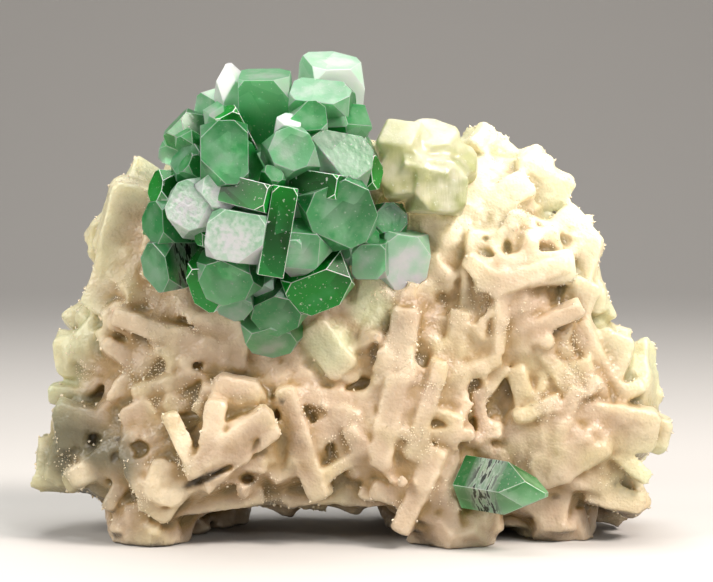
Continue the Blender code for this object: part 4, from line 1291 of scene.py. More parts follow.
@dataclass
class LumpShape:
    """The lump's broad form, the same as the frame's: an outline, and a depth at each point.

    Attributes:
        outline: seen from the front, clockwise from the upper left shoulder.
        centre: the point that the outline is drawn in towards.
        front, back: how far each face stands from the middle plane at the base and the top.
        top: height at which the depth is that of the top.
        rounding: 1 gives an ellipse in section, 0 a slab with square edges.
        swell, spacing: height and spacing of the broad swellings.
        relief: broad swellings and hollows of the front face: x, z, height and reach.
        hollows: hollows between the front blades: x, z, turn, length, width and depth.
        pits: small pits, painted dark as shade, in the same six numbers and how dark each is.
        feet: the lumps that carry it: x, y, width, depth and height.
    """

    outline: tuple[tuple[float, float], ...] = (
        (-37.5, 65), (-45, 64.5), (-47, 61.5), (-48.5, 57), (-47.3, 54.5), (-48.6, 51), (-50.3, 47),
        (-49, 43.5), (-49.3, 40.5), (-51.5, 37.5), (-54.5, 34.5), (-54.6, 32), (-51.5, 30), (-55, 28),
        (-56.8, 24), (-56.2, 19.5), (-58.3, 16.5), (-59.4, 13.5), (-59, 12), (-54, 9), (-48.5, 6.5),
        (-44.5, 4), (-38, 0.8), (-33, 2.5), (-26, 5), (-19.5, 6), (-11.5, 6), (-3, 8.2), (3.5, 7.2),
        (8.5, 4), (16.5, 0.3), (21, 0.2), (26, 1.8), (31.5, 3), (38, 0.8), (42, 3.2), (47.5, 6.7),
        (53.5, 4.6), (55, 6.5), (54.6, 12.5), (57, 17.5), (59.7, 20), (59.4, 23.5), (57.5, 27),
        (54.2, 28.5), (53, 32.5), (48.5, 38), (46.3, 43), (47.4, 52.5), (46.3, 55.8), (43.6, 58.2),
        (43, 60.7), (37.8, 61.8), (37.8, 67.8), (35.5, 72), (30, 72), (25.3, 71.2), (18.5, 72.3), (10, 72),
        (2, 73.5), (-8, 74), (-18, 73), (-28, 70),
    )  # fmt: skip
    centre: tuple[float, float] = (-1.5, 37.0)
    front: tuple[float, float] = (22.0, 9.0)
    back: tuple[float, float] = (24.0, 11.0)
    top: float = 78.0
    rounding: float = 0.42
    core_share: float = 0.985
    rim_steps: int = 40
    swell: float = 3.0
    spacing: float = 12.0
    relief: tuple[tuple[float, ...], ...] = (
        (-27, 17, 4.5, 11), (-50, 30, -3, 10), (-43, 56, -2, 9), (-38, 17, -2, 6), (8, 33, 3, 12),
        (31, 51, 3.5, 9), (28, 11, -4, 8), (12.5, 10, 3, 6), (47, 32, 2.5, 9), (27, 25, -3, 6),
    )  # fmt: skip
    hollows: tuple[tuple[float, ...], ...] = (
        (1.7, 33.1, 65, 8.4, 3.3, 3.5), (-0.1, 30.2, 0, 6.2, 2.2, 3.5), (13.5, 36.5, 0, 4.9, 4.5, 4),
        (9.2, 15.7, 80, 6.5, 5.5, 3.2), (24.8, 53.1, -50, 4.7, 2.7, 3.5), (22.8, 26.6, 90, 9.1, 3.6, 4),
        (27.7, 27.6, 60, 10.9, 4.7, 4.2), (-19, 12.9, 0, 2.2, 2, 4.5), (-17.9, 19.6, 50, 4.7, 2.4, 2.5),
        (-13.6, 25.1, 80, 4, 2, 4.5), (-12.5, 18.6, 80, 9.8, 2.5, 3), (-48.1, 27.3, 15, 7.6, 2.5, 3),
        (-26.7, 13.7, 23, 8.7, 0.9, 6), (37.1, 8.9, 0, 1.6, 1.6, 4), (15.9, 11.7, 60, 9.1, 5.5, 3),
        (33.7, 36.2, 0, 1.6, 1.3, 3), (40.8, 37.1, 45, 2.9, 2.2, 2), (45, 24.7, 0, 2.2, 1.6, 2),
        (36.4, 17.3, 0, 2.2, 2.2, 3), (-4.3, 18.4, -63, 5.5, 1.5, 3.5), (-7.9, 24, -60, 4, 1.5, 3),
        (4.1, 24.2, 80, 2.9, 0.7, 3), (-31.9, 41.3, -10, 7.6, 2.2, 4), (-41.9, 47.6, 0, 4.7, 1.6, 2.5),
        (-35.9, 32.7, 90, 3.1, 2.4, 3), (-28.6, 33.5, 0, 1.6, 1.3, 4), (-28.6, 29.3, 0, 3.6, 2.4, 4),
        (-48.1, 19.6, 80, 5.1, 2.4, 4), (-39.2, 18.9, 0, 2.7, 1.6, 3), (-31.7, 24.4, 0, 6.9, 1.3, 3),
        (-43.2, 16.6, 0, 1.3, 1.8, 3), (-44.1, 11.7, 0, 2.5, 1.6, 2.5), (-32.3, 8.9, 15, 5.8, 1.8, 3),
        (15.9, 58.7, 0, 2.5, 2.5, 2), (28.2, 55.1, 90, 2.5, 0.9, 3), (36.4, 51.3, 20, 3.3, 1.6, 2.5),
    )  # fmt: skip
    pits: tuple[tuple[float, ...], ...] = (
        (-26.7, 13.6, 25, 8.6, 1.5, 3.4, 0.95), (-18.9, 12.9, 0, 2.4, 2, 1.6, 0.55),
        (-48.1, 19.2, 80, 3.4, 1.6, 1, 0.6), (-43.9, 16.6, 70, 2, 1.2, 0.7, 0.5),
        (-52.6, 17.3, 0, 3, 0.8, 0.6, 0.5), (37.5, 8.9, 30, 1.6, 1, 0.7, 0.5),
        (48.6, 11.3, 30, 1.2, 0.7, 0.6, 0.5), (24.5, 56.6, 20, 1.2, 0.9, 0.6, 0.4),
        (-17.4, 19.8, 60, 2.6, 1, 0.9, 0.45), (-16, 18.2, 40, 1.6, 0.8, 0.7, 0.4),
        (-12.9, 27.1, 70, 1, 0.6, 0.8, 0.8), (-43, 20, 0, 0.9, 0.8, 0.7, 0.8),
        (19.5, 68.2, 0, 0.8, 0.8, 0.6, 0.5), (-47.2, 27.3, 15, 3.4, 1.2, 0.8, 0.4),
    )  # fmt: skip
    feet: tuple[tuple[float, ...], ...] = (
        (-37.5, -10, 14, 14, 16), (18.5, -12, 17, 14, 17), (39, -4, 13, 13, 15), (-30, 12, 18, 15, 20),
        (27, 12, 21, 16, 20),
    )  # fmt: skip

    def rim(self) -> np.ndarray:
        """Points spaced evenly along the outline."""
        closed = np.array(self.outline + self.outline[:1])
        run = np.concatenate(([0.0], np.cumsum(np.linalg.norm(np.diff(closed, axis=0), axis=1))))
        at = np.linspace(0.0, run[-1], self.rim_steps, endpoint=False)
        return np.column_stack([np.interp(at, run, closed[:, i]) for i in (0, 1)])

    def share(self, x: np.ndarray, z: np.ndarray) -> np.ndarray:
        """Where points lie between the centre of the lump (0) and its outline (1)."""
        rim = self.rim() - self.centre
        angles, radii = np.arctan2(rim[:, 1], rim[:, 0]), np.linalg.norm(rim, axis=1)
        order = np.argsort(angles)
        across, up = x - self.centre[0], z - self.centre[1]
        edge = np.interp(np.arctan2(up, across), angles[order], radii[order], period=2 * math.pi)
        return np.hypot(across, up) / edge

    def depth(self, x: np.ndarray, z: np.ndarray, side: int) -> np.ndarray:
        """How far a face stands from the middle plane at full depth.

        It falls evenly from the base to the top, and broad noise and, on the front, the
        relief's bells of height exp(-r^2 / reach^2) are added.

        Args:
            x, z: places on the face.
            side: -1 for the front, 1 for the back.

        Returns:
            The depths.
        """
        base, top = self.front if side < 0 else self.back
        depth = base + (top - base) * np.clip(z / self.top, 0.0, 1.0)
        swell = [
            noise.noise(Vector((at_x / self.spacing, 7.0 * side, at_z / self.spacing)))
            for at_x, at_z in zip(np.ravel(x), np.ravel(z))
        ]
        depth = depth + self.swell * np.array(swell).reshape(np.shape(x))
        if side < 0:
            for at_x, at_z, height, reach in self.relief:
                away = (x - at_x) ** 2 + (z - at_z) ** 2
                depth = depth + height * np.exp(-away / reach**2)
        return depth

    def surface(self, x: float, z: float, side: int) -> float:
        """The y of the lump's surface at one place on a face."""
        place = np.array([x]), np.array([z])
        share = min(float(self.share(*place)[0]), 1.0)
        bulge = math.sqrt(max(0.0, 1.0 - share ** (2.0 / self.rounding)))
        return side * float(self.depth(*place, side)[0]) * bulge

    def core(self, stone: StoneField) -> None:
        """Fill a grid with the lump's core.

        The value is |y| less the depth times sqrt(1 - s^(2 / rounding)), with s the share of
        the way to the outline, and is divided by its own slope to come near a distance.

        Args:
            stone: the grid.
        """
        coarse = 8
        x, y, z = stone.axes
        wide, high = x[::coarse], z[::coarse]
        grid = np.meshgrid(wide, high, indexing="ij")
        share = self.share(*np.meshgrid(x, z, indexing="ij")) / self.core_share
        bulge = np.sqrt(np.clip(1.0 - np.minimum(share, 1.0) ** (2.0 / self.rounding), 0.0, None))
        past = np.maximum(share - 1.0, 0.0) * 40.0
        for side, rows in ((-1, y < 0), (1, y >= 0)):
            rough = self.depth(*grid, side)
            depth = np.stack([np.interp(x, wide, column) for column in rough.T], axis=1)
            depth = np.stack([np.interp(z, high, row) for row in depth], axis=0)
            reach = np.abs(y[rows])[None, :, None]
            stone.values[:, rows, :] = reach - (depth * bulge)[:, None, :] + past[:, None, :]
        slopes = np.gradient(stone.values, stone.step)
        steepness = np.sqrt(sum(slope * slope for slope in slopes))
        stone.values /= np.maximum(steepness, 0.35)


@dataclass
class StilbiteLump:
    """The lump of fused stilbite blades that carries the crystals.

    Attributes:
        shape: its broad form.
        step: spacing of the grid that it is worked out on.
        fillet, seam: how far the seams between blades are filled, in the bed and on top.
        softness: how far their edges are rounded.
        most_triangles: what the mesh is thinned to.
        pale_spots, white_spots: greenish and white parts: x, z, reach and strength.
    """

    shape: LumpShape
    step: float = 0.45
    fillet: float = 1.3
    seam: float = 0.9
    softness: float = 0.12
    most_triangles: int = 190_000
    pale_spots: tuple[tuple[float, float, float, float], ...] = (
        (-4.2, 36.8, 4.6, 0.8), (3.4, 44.4, 4, 0.7), (6, 52, 4, 0.4), (24, 62, 9, 0.35), (44, 52, 7, 0.35),
        (50, 38, 5, 0.3),
    )  # fmt: skip
    white_spots: tuple[tuple[float, float, float, float], ...] = (
        (-50.2, 13.5, 2.6, 0.6), (-30.8, 19.4, 3, 0.45), (-33.5, 11, 4.4, 0.35), (-23.5, 24, 4.4, 0.3),
        (8.8, 36, 4, 0.3), (20, 51, 4, 0.5), (20, 58, 4, 0.6), (34, 58.6, 3, 0.7),
    )  # fmt: skip

    def frame_blades(self) -> tuple[list[Facets], list[Facets]]:
        """The blades of the frame: the placed ones, and the feet and blades drawn at random.

        The random ones come in the frame's own order. Those of the front lie lower and
        flatter here, as the bed that the placed blades stand on.

        Returns:
            The placed solids and the drawn ones.
        """
        shape = self.shape
        lowered = [
            blade._replace(
                length=1.15 * blade.length,
                width=(0.9 if blade.width > 5.5 else 0.76) * blade.width,
                proud=blade.proud - (1.7 if blade.proud < 2.8 else 1.0),
                rise=0.5 * blade.rise,
                roll=0.6 * blade.roll,
            )
            for blade in FRONT_BLADES
        ]
        web = [blade._replace(length=1.25 * blade.length) for blade in WEB_BLADES]
        named = [self.on_face(blade, -1) for blade in (*lowered, *web)]
        draw = np.random.default_rng(SEED)
        drawn = [self.foot(draw, *foot) for foot in shape.feet]
        draw = np.random.default_rng(SEED)
        centre = np.array(shape.centre)
        for side, count in DRAWN_BLADES.items():
            for share, angle in spiral(count):
                reach = share * np.array(DRAWN_REACH)
                x, z = centre + reach * (math.cos(angle), math.sin(angle))
                blade = self.drawn(draw, x, z)
                if side < 0:
                    blade = blade._replace(
                        proud=blade.proud - 2.2, rise=0.2 * blade.rise, roll=0.3 * blade.roll
                    )
                drawn.append(self.on_face(blade, side))
        rim = shape.rim()
        for index in range(RIM_BLADES):
            point = rim[index * shape.rim_steps // RIM_BLADES]
            out = (point - centre) / np.linalg.norm(point - centre)
            x, z = point - out
            depth = shape.front[0] if z < 40.0 else shape.front[1]
            y = draw.uniform(-0.45, 0.45) * depth
            blade = self.drawn(draw, x, z)
            blade = blade._replace(proud=-0.4, rise=0.4 * blade.rise)
            outward = np.array((out[0], 0.0, out[1]))
            drawn.append(blade.facets(np.array((x, y, z)), outward, np.array((0.0, 1.0, 0.0))))
        return named, drawn

    @staticmethod
    def drawn(draw: np.random.Generator, x: float, z: float) -> Blade:
        """A blade of random size and lie at (x, z)."""
        turn, rise, roll, proud = draw.uniform((0.0, -22.0, -38.0, -0.6), (180.0, 26.0, 38.0, 1.4))
        length, width, thickness = draw.uniform((10.0, 6.5, 5.5), (18.0, 10.0, 7.5))
        return Blade(x, z, turn, length, width, thickness, rise, roll, proud)

    def on_face(self, blade: Blade, side: int) -> Facets:
        """A blade on the front (-1) or back (1) face."""
        middle = np.array((blade.x, self.shape.surface(blade.x, blade.z, side), blade.z))
        level = np.array((-float(side), 0.0, 0.0))
        turned = blade if side < 0 else blade._replace(turn=180.0 - blade.turn)
        return turned.facets(middle, np.array((0.0, float(side), 0.0)), level)

    @staticmethod
    def foot(
        draw: np.random.Generator, x: float, y: float, width: float, depth: float, height: float
    ) -> Facets:
        """A foot: thirteen flat faces spread round an ellipsoid, a third of it below Z = 0."""
        half = np.array((width, depth, height)) / 2
        normals = [np.array((0.0, 0.0, -1.0))]
        distances = [half[2]]
        count = 13
        for index in range(count):
            z = 1.0 - 2.0 * (index + 0.5) / count
            angle = index * math.radians(GOLDEN_ANGLE) + draw.uniform(-0.2, 0.2)
            level = math.sqrt(1.0 - z * z)
            normal = np.array((level * math.cos(angle), level * math.sin(angle), z))
            normals.append(normal)
            distances.append(np.linalg.norm(normal * half) * draw.uniform(0.86, 1.0))
        return Facets(np.array(normals), np.array(distances), np.array((x, y, height / 6)))

    def scattered(self, sort: BladeSort) -> list[Facets]:
        """Blades drawn at random over one face, spread by the golden angle."""
        draw = np.random.default_rng(SEED + sort.seed)
        solids = []
        for share, angle in spiral(sort.count):
            angle += draw.uniform(-sort.askew, sort.askew)
            reach = share * np.array(sort.reach)
            x, z = np.array(self.shape.centre) + reach * (math.cos(angle), math.sin(angle))
            tipped = (sort.rise, sort.roll)
            turn, rise, roll = draw.uniform((0.0, *(-tip for tip in tipped)), (180.0, *tipped))
            length, width, thickness = draw.uniform(sort.least, sort.most)
            proud = draw.uniform(*sort.proud) - sort.sunk
            blade = Blade(x, z, turn, length, width, thickness, rise, roll, proud)
            solids.append(self.on_face(blade, sort.side))
        return solids

    def foot_blades(self) -> list[Facets]:
        """Blades that stand round the feet, seven to a foot."""
        draw = np.random.default_rng(SEED + 2)
        solids = []
        count = 7
        for x, y, width, depth, height in self.shape.feet:
            for index in range(count):
                angle = 2 * math.pi * index / count + draw.uniform(-0.3, 0.3)
                outward = np.array((math.cos(angle), math.sin(angle), 0.0))
                middle = np.array((x, y, draw.uniform(0.1, 0.5) * height))
                middle += 0.49 * outward * (width, depth, 0.0)
                turn, rise, roll = draw.uniform((50.0, -12.0, -25.0), (130.0, 12.0, 25.0))
                length, wide, thickness = draw.uniform((5.0, 2.4, 2.4), (9.0, 4.6, 3.6))
                blade = Blade(x, y, turn, length, wide, thickness, rise, roll, 0.2)
                solids.append(blade.facets(middle, outward, np.cross((0.0, 0.0, 1.0), outward)))
        return solids

    def stone(self, seats: Sequence[Facets]) -> StoneField:
        """Work the lump out on its grid.

        Args:
            seats: the crystals, whose seats are carved out.

        Returns:
            The grid.
        """
        stone = StoneField((-62.5, -30.0, -1.5), (62.0, 30.0, 80.5), self.step)
        self.shape.core(stone)
        named, drawn = self.frame_blades()
        bed = (*drawn, *self.scattered(SMALL_FRONT), *self.scattered(SMALL_BACK))
        for solid in bed:
            stone.join(solid, self.softness, self.fillet)
        stone.roughen(((0.3, 4.5), (0.15, 1.8)), 3.0, (0.6, 4.2, 2))
        for x, z, turn, length, width, depth in self.shape.hollows:
            size = (1.2 * length, 0.75 * depth, 1.2 * width)
            stone.carve_ellipsoid((x, stone.front(x, z), z), size, turn, 0.8, 0.5)
        for solid in (*named, *self.scattered(LARGE_BACK), *self.foot_blades()):
            stone.join(solid, self.softness, self.seam)
        for x, z, turn, length, width, depth, _ in self.shape.pits:
            size = (length, 1.6 * depth, width)
            stone.carve_ellipsoid((x, stone.front(x, z), z), size, turn, 0.4, 0.5)
        stone.roughen(((0.12, 3.0), (0.05, 1.0)), 2.0, (0.22, 2.6, 1))
        for seat in seats:
            stone.carve(seat, softness=0.1, fillet=0.2, inset=0.3)
        stone.carve_ellipsoid(CLUSTER_CENTRE, (2 * CLUSTER_CORE - 2.0,) * 3, rough=0.0)
        stone.values = np.maximum(stone.values, -stone.axes[2][None, None, :])
        return stone

    def build(self, seats: Sequence[Facets]) -> bpy.types.Object:
        """Build the lump.

        Args:
            seats: the crystals, whose seats are carved out.

        Returns:
            The object.
        """
        stone = self.stone(seats)
        points, quads = stone.skin()
        points = relaxed(points, quads, 0.4)
        finish = Stilbite().material("stilbite_waxy")
        made = mesh_object("stilbite_lump", points, quads, finish)
        thinner = made.modifiers.new("thin", "DECIMATE")
        thinner.ratio = min(1.0, self.most_triangles / (2 * len(quads)))
        bpy.context.view_layer.update()
        graph = bpy.context.evaluated_depsgraph_get()
        thinned = bpy.data.meshes.new_from_object(made.evaluated_get(graph))
        made.modifiers.clear()
        made.data = thinned
        made.data.name = "stilbite_lump"
        made.data.shade_smooth()
        self.mark(made.data, stone)
        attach(made, "root")
        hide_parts("stilbite_matrix")
        return made

    def mark(self, mesh: bpy.types.Mesh, stone: StoneField) -> None:
        """Store what the finish reads for each corner: its painted shade, its white parts and painted
        light, its greenish parts, its stain, and how dark it is low underneath and as painted shade in the
        pits.

        The painted shade is how far the share of stone round a corner lies above that of a flat
        face, which is a half, so that hollows are painted darker; it grows towards the lower left,
        away from the light.

        Args:
            mesh: the lump's mesh.
            stone: its grid.
        """
        points, normals = rows_of(mesh, "co") / MM - SHIFT, rows_of(mesh, "normal")
        # painted shade in the hollows: the more stone round a corner, the darker it is painted
        full = stone.sample(stone.fullness(3.2), points)
        fine = stone.sample(stone.fullness(1.4), points)
        painted_shade = np.clip((0.6 * full + 0.4 * fine - 0.36) / 0.36, 0.0, 1.0)
        patches = wander(points / 7.0, SEED + 20)
        x, z = points[:, 0], points[:, 2]
        front = points[:, 1] < 4.0
        # painted light on the upper right, towards the lamps, and painted shade towards the lower left
        lit = 0.55 * x + z
        white_and_painted_light = 0.8 * ramp(lit, 60.0, 90.0) * (1.0 - 0.4 * painted_shade) * ramp(-points[:, 1], -6.0, 3.0)
        painted_shade = np.clip(painted_shade + 0.16 * ramp(-lit, -28.0, -4.0), 0.0, 1.0)

        def spots(rows: Iterable[tuple[float, float, float, float]]) -> np.ndarray:
            """Soft spots on the front: x, z, reach and strength."""
            total = np.zeros(len(points))
            for at_x, at_z, reach, strength in rows:
                away = ((x - at_x) ** 2 + (z - at_z) ** 2) / reach**2
                total = np.maximum(total, strength * np.exp(-(away**2)))
            return total * front

        share = self.shape.share(x, z)
        pale = spots(self.pale_spots) * (0.8 + 0.4 * patches)
        rim = ramp(share, 0.84, 1.02) * ramp(z, 6.0, 14.0)
        pale = np.maximum(pale, (0.5 + 0.3 * patches) * rim)
        white = spots(self.white_spots)
        away = np.hypot((x + 49.0) / 12.5, (z - 17.5) / 8.5)
        stain = ramp(1.25 - away + 0.5 * patches, 0.0, 0.8) * front * (1.0 - white)
        # darker on faces that look down, low near the base
        below = ramp(-normals[:, 2], 0.25, 0.85) * ramp(12.0 - z, 0.0, 9.0)
        underside_dark_and_pit_shade = below * ramp(patches, -0.5, 0.4)
        # painted shade inside the pits
        for at_x, at_z, turn, length, width, _, dark in self.shape.pits:
            cos, sin = math.cos(math.radians(turn)), math.sin(math.radians(turn))
            along = (cos * (x - at_x) + sin * (z - at_z)) / (0.55 * length)
            over = (cos * (z - at_z) - sin * (x - at_x)) / (0.6 * width)
            near = ramp(1.2 - np.hypot(along, over), 0.0, 0.5) * front
            underside_dark_and_pit_shade = np.maximum(underside_dark_and_pit_shade, dark * near)
        give(mesh, "painted_shade", painted_shade)
        give(mesh, "white_and_painted_light", np.maximum(white_and_painted_light, white))
        give(mesh, "pale", pale)
        give(mesh, "stain", 0.9 * stain)
        give(mesh, "underside_dark_and_pit_shade", 0.85 * underside_dark_and_pit_shade)


def splinters(
    middles: np.ndarray, axes: np.ndarray, sizes: np.ndarray
) -> tuple[np.ndarray, np.ndarray]:
    """Eight-sided splinters: each has its six corners at plus and minus its sizes on its axes.

    Args:
        middles: their middles, one to a row.
        axes: their three unit axes, as rows of a matrix each.
        sizes: their half lengths along those axes.

    Returns:
        The corners, and the faces as rows of three corner numbers.
    """
    arms = axes * sizes[:, :, None]
    corners = np.concatenate((middles[:, None] + arms, middles[:, None] - arms), axis=1)
    faces = []
    for signs in itertools.product((1, -1), repeat=3):
        ring = [axis + (0 if sign > 0 else 3) for axis, sign in enumerate(signs)]
        faces.append(ring if np.prod(signs) > 0 else ring[::-1])
    start = 6 * np.arange(len(middles))[:, None, None]
    return corners.reshape(-1, 3), (start + np.array(faces)).reshape(-1, 3)


def frames(first: np.ndarray, draw: np.random.Generator) -> np.ndarray:
    """Three axes at right angles for each row: the first as given, the others turned at random."""
    first = first / np.linalg.norm(first, axis=1, keepdims=True)
    other = np.cross(first, draw.normal(size=first.shape))
    other /= np.linalg.norm(other, axis=1, keepdims=True)
    return np.stack((first, other, np.cross(first, other)), axis=1)


@dataclass
class StilbiteDruse:
    """Sparkling splinters of stilbite: patches of druse on the blades, and teeth on the rim.

    Attributes:
        grains: how many grains there are.
        teeth: how many teeth there are.
        spots: patches of druse on the front: x, z and reach.
    """

    grains: int = 3_600
    teeth: int = 900
    spots: tuple[tuple[float, float, float], ...] = (
        (8.6, 37.5, 2.6), (9.4, 34, 2.2), (12.8, 19.6, 2.4), (10, 20.6, 1.6), (-6.3, 25.6, 1.2),
        (-35.6, 38.6, 2), (-36.2, 33.4, 1.8), (-29.4, 28, 2), (-40.6, 32.6, 1.6), (-30.8, 16, 1.6),
        (23.6, 46, 2.4), (27.6, 40.6, 2), (42.2, 29, 2.6), (40.2, 32.4, 2), (34.6, 26.4, 1.8),
        (16.8, 10.4, 1.6), (14.6, 29.2, 1.8), (-1.6, 20.6, 1.4), (-2.4, 16, 1.4), (-49.8, 31.8, 1.8),
        (-53.2, 14.8, 1.8), (-38.6, 9, 1.8), (40.8, 37.2, 1.8), (19.6, 42.4, 1.4), (30.4, 60.4, 2),
        (-37.2, 62, 1.6), (-15, 8.4, 1.6), (47.4, 12.6, 1.8), (30.8, 14.6, 1.6), (5.8, 47, 1.8),
    )  # fmt: skip

    def build(self, lump: bpy.types.Object) -> list[bpy.types.Object]:
        """Build the druse on the lump's skin.

        Args:
            lump: the finished lump.

        Returns:
            The pieces.
        """
        points = rows_of(lump.data, "co") / MM - SHIFT
        normals = rows_of(lump.data, "normal").astype(float)
        count = len(points)
        draw = np.random.default_rng(SEED + 4)
        finish = Stilbite(gloss=0.15, scatter=0.001, relief=0.0).material("stilbite_druse")

        patch = ramp(wander(points / 4.0, SEED + 30), 0.42, 0.7) * (points[:, 2] > 6.0)
        front = points[:, 1] < 4.0
        for x, z, reach in self.spots:
            away = ((points[:, 0] - x) ** 2 + (points[:, 2] - z) ** 2) / reach**2
            patch += 3.0 * np.exp(-away) * front
        chosen = draw.choice(count, self.grains, replace=False, p=patch / patch.sum())
        lean = frames(normals[chosen] + 0.5 * draw.normal(size=(self.grains, 3)), draw)
        sizes = draw.uniform((0.1, 0.12, 0.1), (0.24, 0.3, 0.24), (self.grains, 3))
        grains = splinters(points[chosen], lean, sizes)

        flat = normals * (1.0, 0.0, 1.0)
        edge = ramp(np.linalg.norm(flat, axis=1), 0.9, 1.0) * (points[:, 2] > 4.0)
        chosen = draw.choice(count, self.teeth, replace=False, p=edge / edge.sum())
        lean = frames(normals[chosen] + 0.35 * draw.normal(size=(self.teeth, 3)), draw)
        sizes = draw.uniform((0.25, 0.25, 0.2), (0.6, 0.5, 0.4), (self.teeth, 3))
        teeth = splinters(points[chosen], lean, sizes)

        pieces = []
        for name, (corners, faces) in (("grains", grains), ("teeth", teeth)):
            made = mesh_object(f"stilbite_{name}", corners, faces, finish)
            # the druse has no painted shade; it is lightened 0.4 of the way to the bright colour, as
            # whiter grains and as a painted highlight
            for mask in STONE_MASKS:
                give(made.data, mask, np.full(len(corners), 0.4 if mask == "white_and_painted_light" else 0.0))
            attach(made, "root")
            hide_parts("stilbite_matrix")
            pieces.append(made)
        return pieces


@dataclass
class CrystalRoots:
    """The cloudy middle of the ball, where the crystals have grown into each other.

    Attributes:
        radius: its radius.
        rings, steps: faces from pole to pole and round it.
    """

    radius: float = 12.2
    rings: int = 48
    steps: int = 96

    def build(self) -> bpy.types.Object:
        """Build it: a ball whose radius wanders, on a grid of latitude and longitude."""
        up, round_ = np.meshgrid(
            np.linspace(0.0, math.pi, self.rings + 1)[1:-1],
            np.linspace(0.0, 2 * math.pi, self.steps, endpoint=False),
            indexing="ij",
        )
        unit = np.stack(
            (np.sin(up) * np.cos(round_), np.sin(up) * np.sin(round_), np.cos(up)), axis=-1
        ).reshape(-1, 3)
        unit = np.concatenate((unit, ((0.0, 0.0, 1.0), (0.0, 0.0, -1.0))))
        radius = self.radius + 1.2 * wander(unit * 3.0, SEED + 3) + 0.5 * wander(unit * 9.0, 5)
        points = np.array(CLUSTER_CENTRE) + unit * radius[:, None]
        rows, columns = self.rings - 1, self.steps
        number = np.arange(rows * columns).reshape(rows, columns)
        ahead = np.roll(number, -1, axis=1)
        quads = np.stack((number[:-1], number[1:], ahead[1:], ahead[:-1]), axis=-1).reshape(-1, 4)
        top, bottom = rows * columns, rows * columns + 1
        faces = quads.tolist()
        faces += [[top, int(a), int(b)] for a, b in zip(number[0], ahead[0])]
        faces += [[bottom, int(b), int(a)] for a, b in zip(number[-1], ahead[-1])]
        made = mesh_object("crystal_roots", points, faces, Milk().material("apophyllite_cloudy_root"))
        made.data.shade_smooth()
        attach(made, "root")
        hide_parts("apophyllite_cluster")
        return made


# --- the studio -----------------------------------------------------------------------------


# each lamp's name, place, side, power in watts and colour: a large key light on the right,
# a fill on the left, one above, and small ones that the crystals' faces mirror
LAMPS = (
    ("key", (360.0, -260.0, 440.0), 160.0, 5.0, "FFF4EE"),
    ("fill", (-418.0, -321.0, 304.0), 200.0, 2.1, "FFFAF4"),
    ("strip", (-120.0, -420.0, -20.0), 70.0, 0.4, "FFFFFF"),
    ("spark", (315.0, -427.0, 230.0), 60.0, 0.6, "FFFFFF"),
    ("glint", (134.0, -360.0, 449.0), 60.0, 0.6, "FFFFFF"),
    ("side", (-513.0, -67.0, 256.0), 90.0, 0.8, "FFFFFF"),
    ("top", (20.0, 60.0, 560.0), 360.0, 2.6, "FFFFFF"),
)


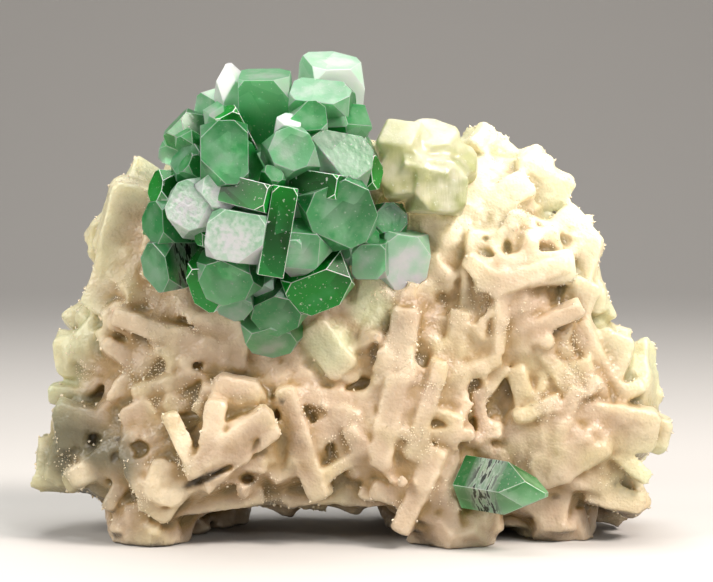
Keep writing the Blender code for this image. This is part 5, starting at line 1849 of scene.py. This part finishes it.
@dataclass
class Studio:
    """The floor, the lights and the camera.

    Attributes:
        target: what the camera looks at.
        distance: how far from it the camera stands.
        height_angle: how far it looks down, in degrees.
        lens: focal length on a sensor 36 mm wide.
    """

    target: tuple[float, float, float] = (1.2, 5.5, 46.0)
    distance: float = 505.0
    height_angle: float = 4.0
    lens: float = 135.0

    def floor(self) -> None:
        """A wide pale floor that curves up into a pale wall far behind."""
        run = np.linspace(0.0, 1.0, 40)
        bend = np.clip((run - 0.5) / 0.3, 0.0, 1.0) * math.pi / 2
        near, far, radius, wide, wall = -1500.0, 600.0, 500.0, 2500.0, 900.0
        level = near + run * 2 * (far - near)
        y = np.where(run < 0.5, level, far + radius * np.sin(bend))
        z = radius * (1.0 - np.cos(bend)) + np.maximum(run - 0.8, 0.0) * 5 * wall
        x = np.repeat((-wide, wide), len(run))
        points = np.stack((x, np.tile(y, 2), np.tile(z, 2)), axis=1)
        number = np.arange(len(run) - 1)
        quads = np.stack((number, number + len(run), number + len(run) + 1, number + 1), axis=1)
        finish = bpy.data.materials.new("paper_pale")
        finish.use_nodes = True
        shader = finish.node_tree.nodes["Principled BSDF"]
        shader.inputs["Base Color"].default_value = linear("BAB7B2")
        shader.inputs["Roughness"].default_value = 0.9
        made = mesh_object("floor", points - SHIFT, quads, finish)
        made.data.shade_smooth()

    def lamp(
        self, name: str, place: Sequence[float], size: float, power: float, colour: str
    ) -> None:
        """Hang a square soft light that faces the target."""
        data = bpy.data.lights.new(name, "AREA")
        data.shape = "SQUARE"
        data.size = size * MM
        data.energy = power
        data.color = linear(colour)[:3]
        made = bpy.data.objects.new(name, data)
        made.location = Vector(place) * MM
        facing = Vector(self.target) * MM - made.location
        made.rotation_euler = facing.to_track_quat("-Z", "Y").to_euler()
        bpy.context.scene.collection.objects.link(made)

    def lights(self) -> None:
        """The lamps and a dim grey world."""
        for lamp in LAMPS:
            self.lamp(*lamp)
        bpy.context.scene.view_settings.view_transform = "Standard"
        world = bpy.data.worlds.new("studio")
        world.use_nodes = True
        bpy.context.scene.world = world
        sky = world.node_tree.nodes["Background"]
        sky.inputs["Color"].default_value = linear("E8EAEC")
        sky.inputs["Strength"].default_value = 0.26

    def camera(self) -> None:
        """Set up the camera in front of the specimen."""
        data = bpy.data.cameras.new("camera")
        data.lens = self.lens
        data.sensor_width = 36.0
        data.clip_start = 0.01
        data.clip_end = 20.0
        raised = math.radians(self.height_angle)
        away = Vector((0.0, -math.cos(raised), math.sin(raised))) * self.distance
        made = bpy.data.objects.new("camera", data)
        made.location = (Vector(self.target) + away) * MM
        made.rotation_euler = (-away).to_track_quat("-Z", "Y").to_euler()
        bpy.context.scene.collection.objects.link(made)
        bpy.context.scene.camera = made

    def build(self) -> None:
        """Set up the whole studio."""
        self.floor()
        self.lights()
        self.camera()


def report(made: bpy.types.Object) -> None:
    """Log a piece's name and how many faces it has."""
    LOG.info("%s: %d faces", made.name, len(made.data.polygons))


def main() -> None:
    """Build the specimen round its frame."""
    logging.basicConfig(level=logging.INFO, format="%(message)s")
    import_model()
    Studio().build()
    groups = (
        CrystalGroup(CLUSTER_CENTRE, CLUSTER_CRYSTALS + gap_crystals()),
        FusedCrest(CREST_ORIGIN, CREST_CRYSTALS),
        CrystalGroup(SINGLE_ORIGIN, SINGLE_CRYSTALS, "apophyllite_single_crystal"),
    )
    seats = []
    for group in groups:
        for piece in group.build():
            report(piece)
        seats += group.solids()
    report(CrystalRoots().build())
    lump = StilbiteLump(LumpShape()).build(seats)
    report(lump)
    for piece in StilbiteDruse().build(lump):
        report(piece)


if __name__ == "__main__":
    main()
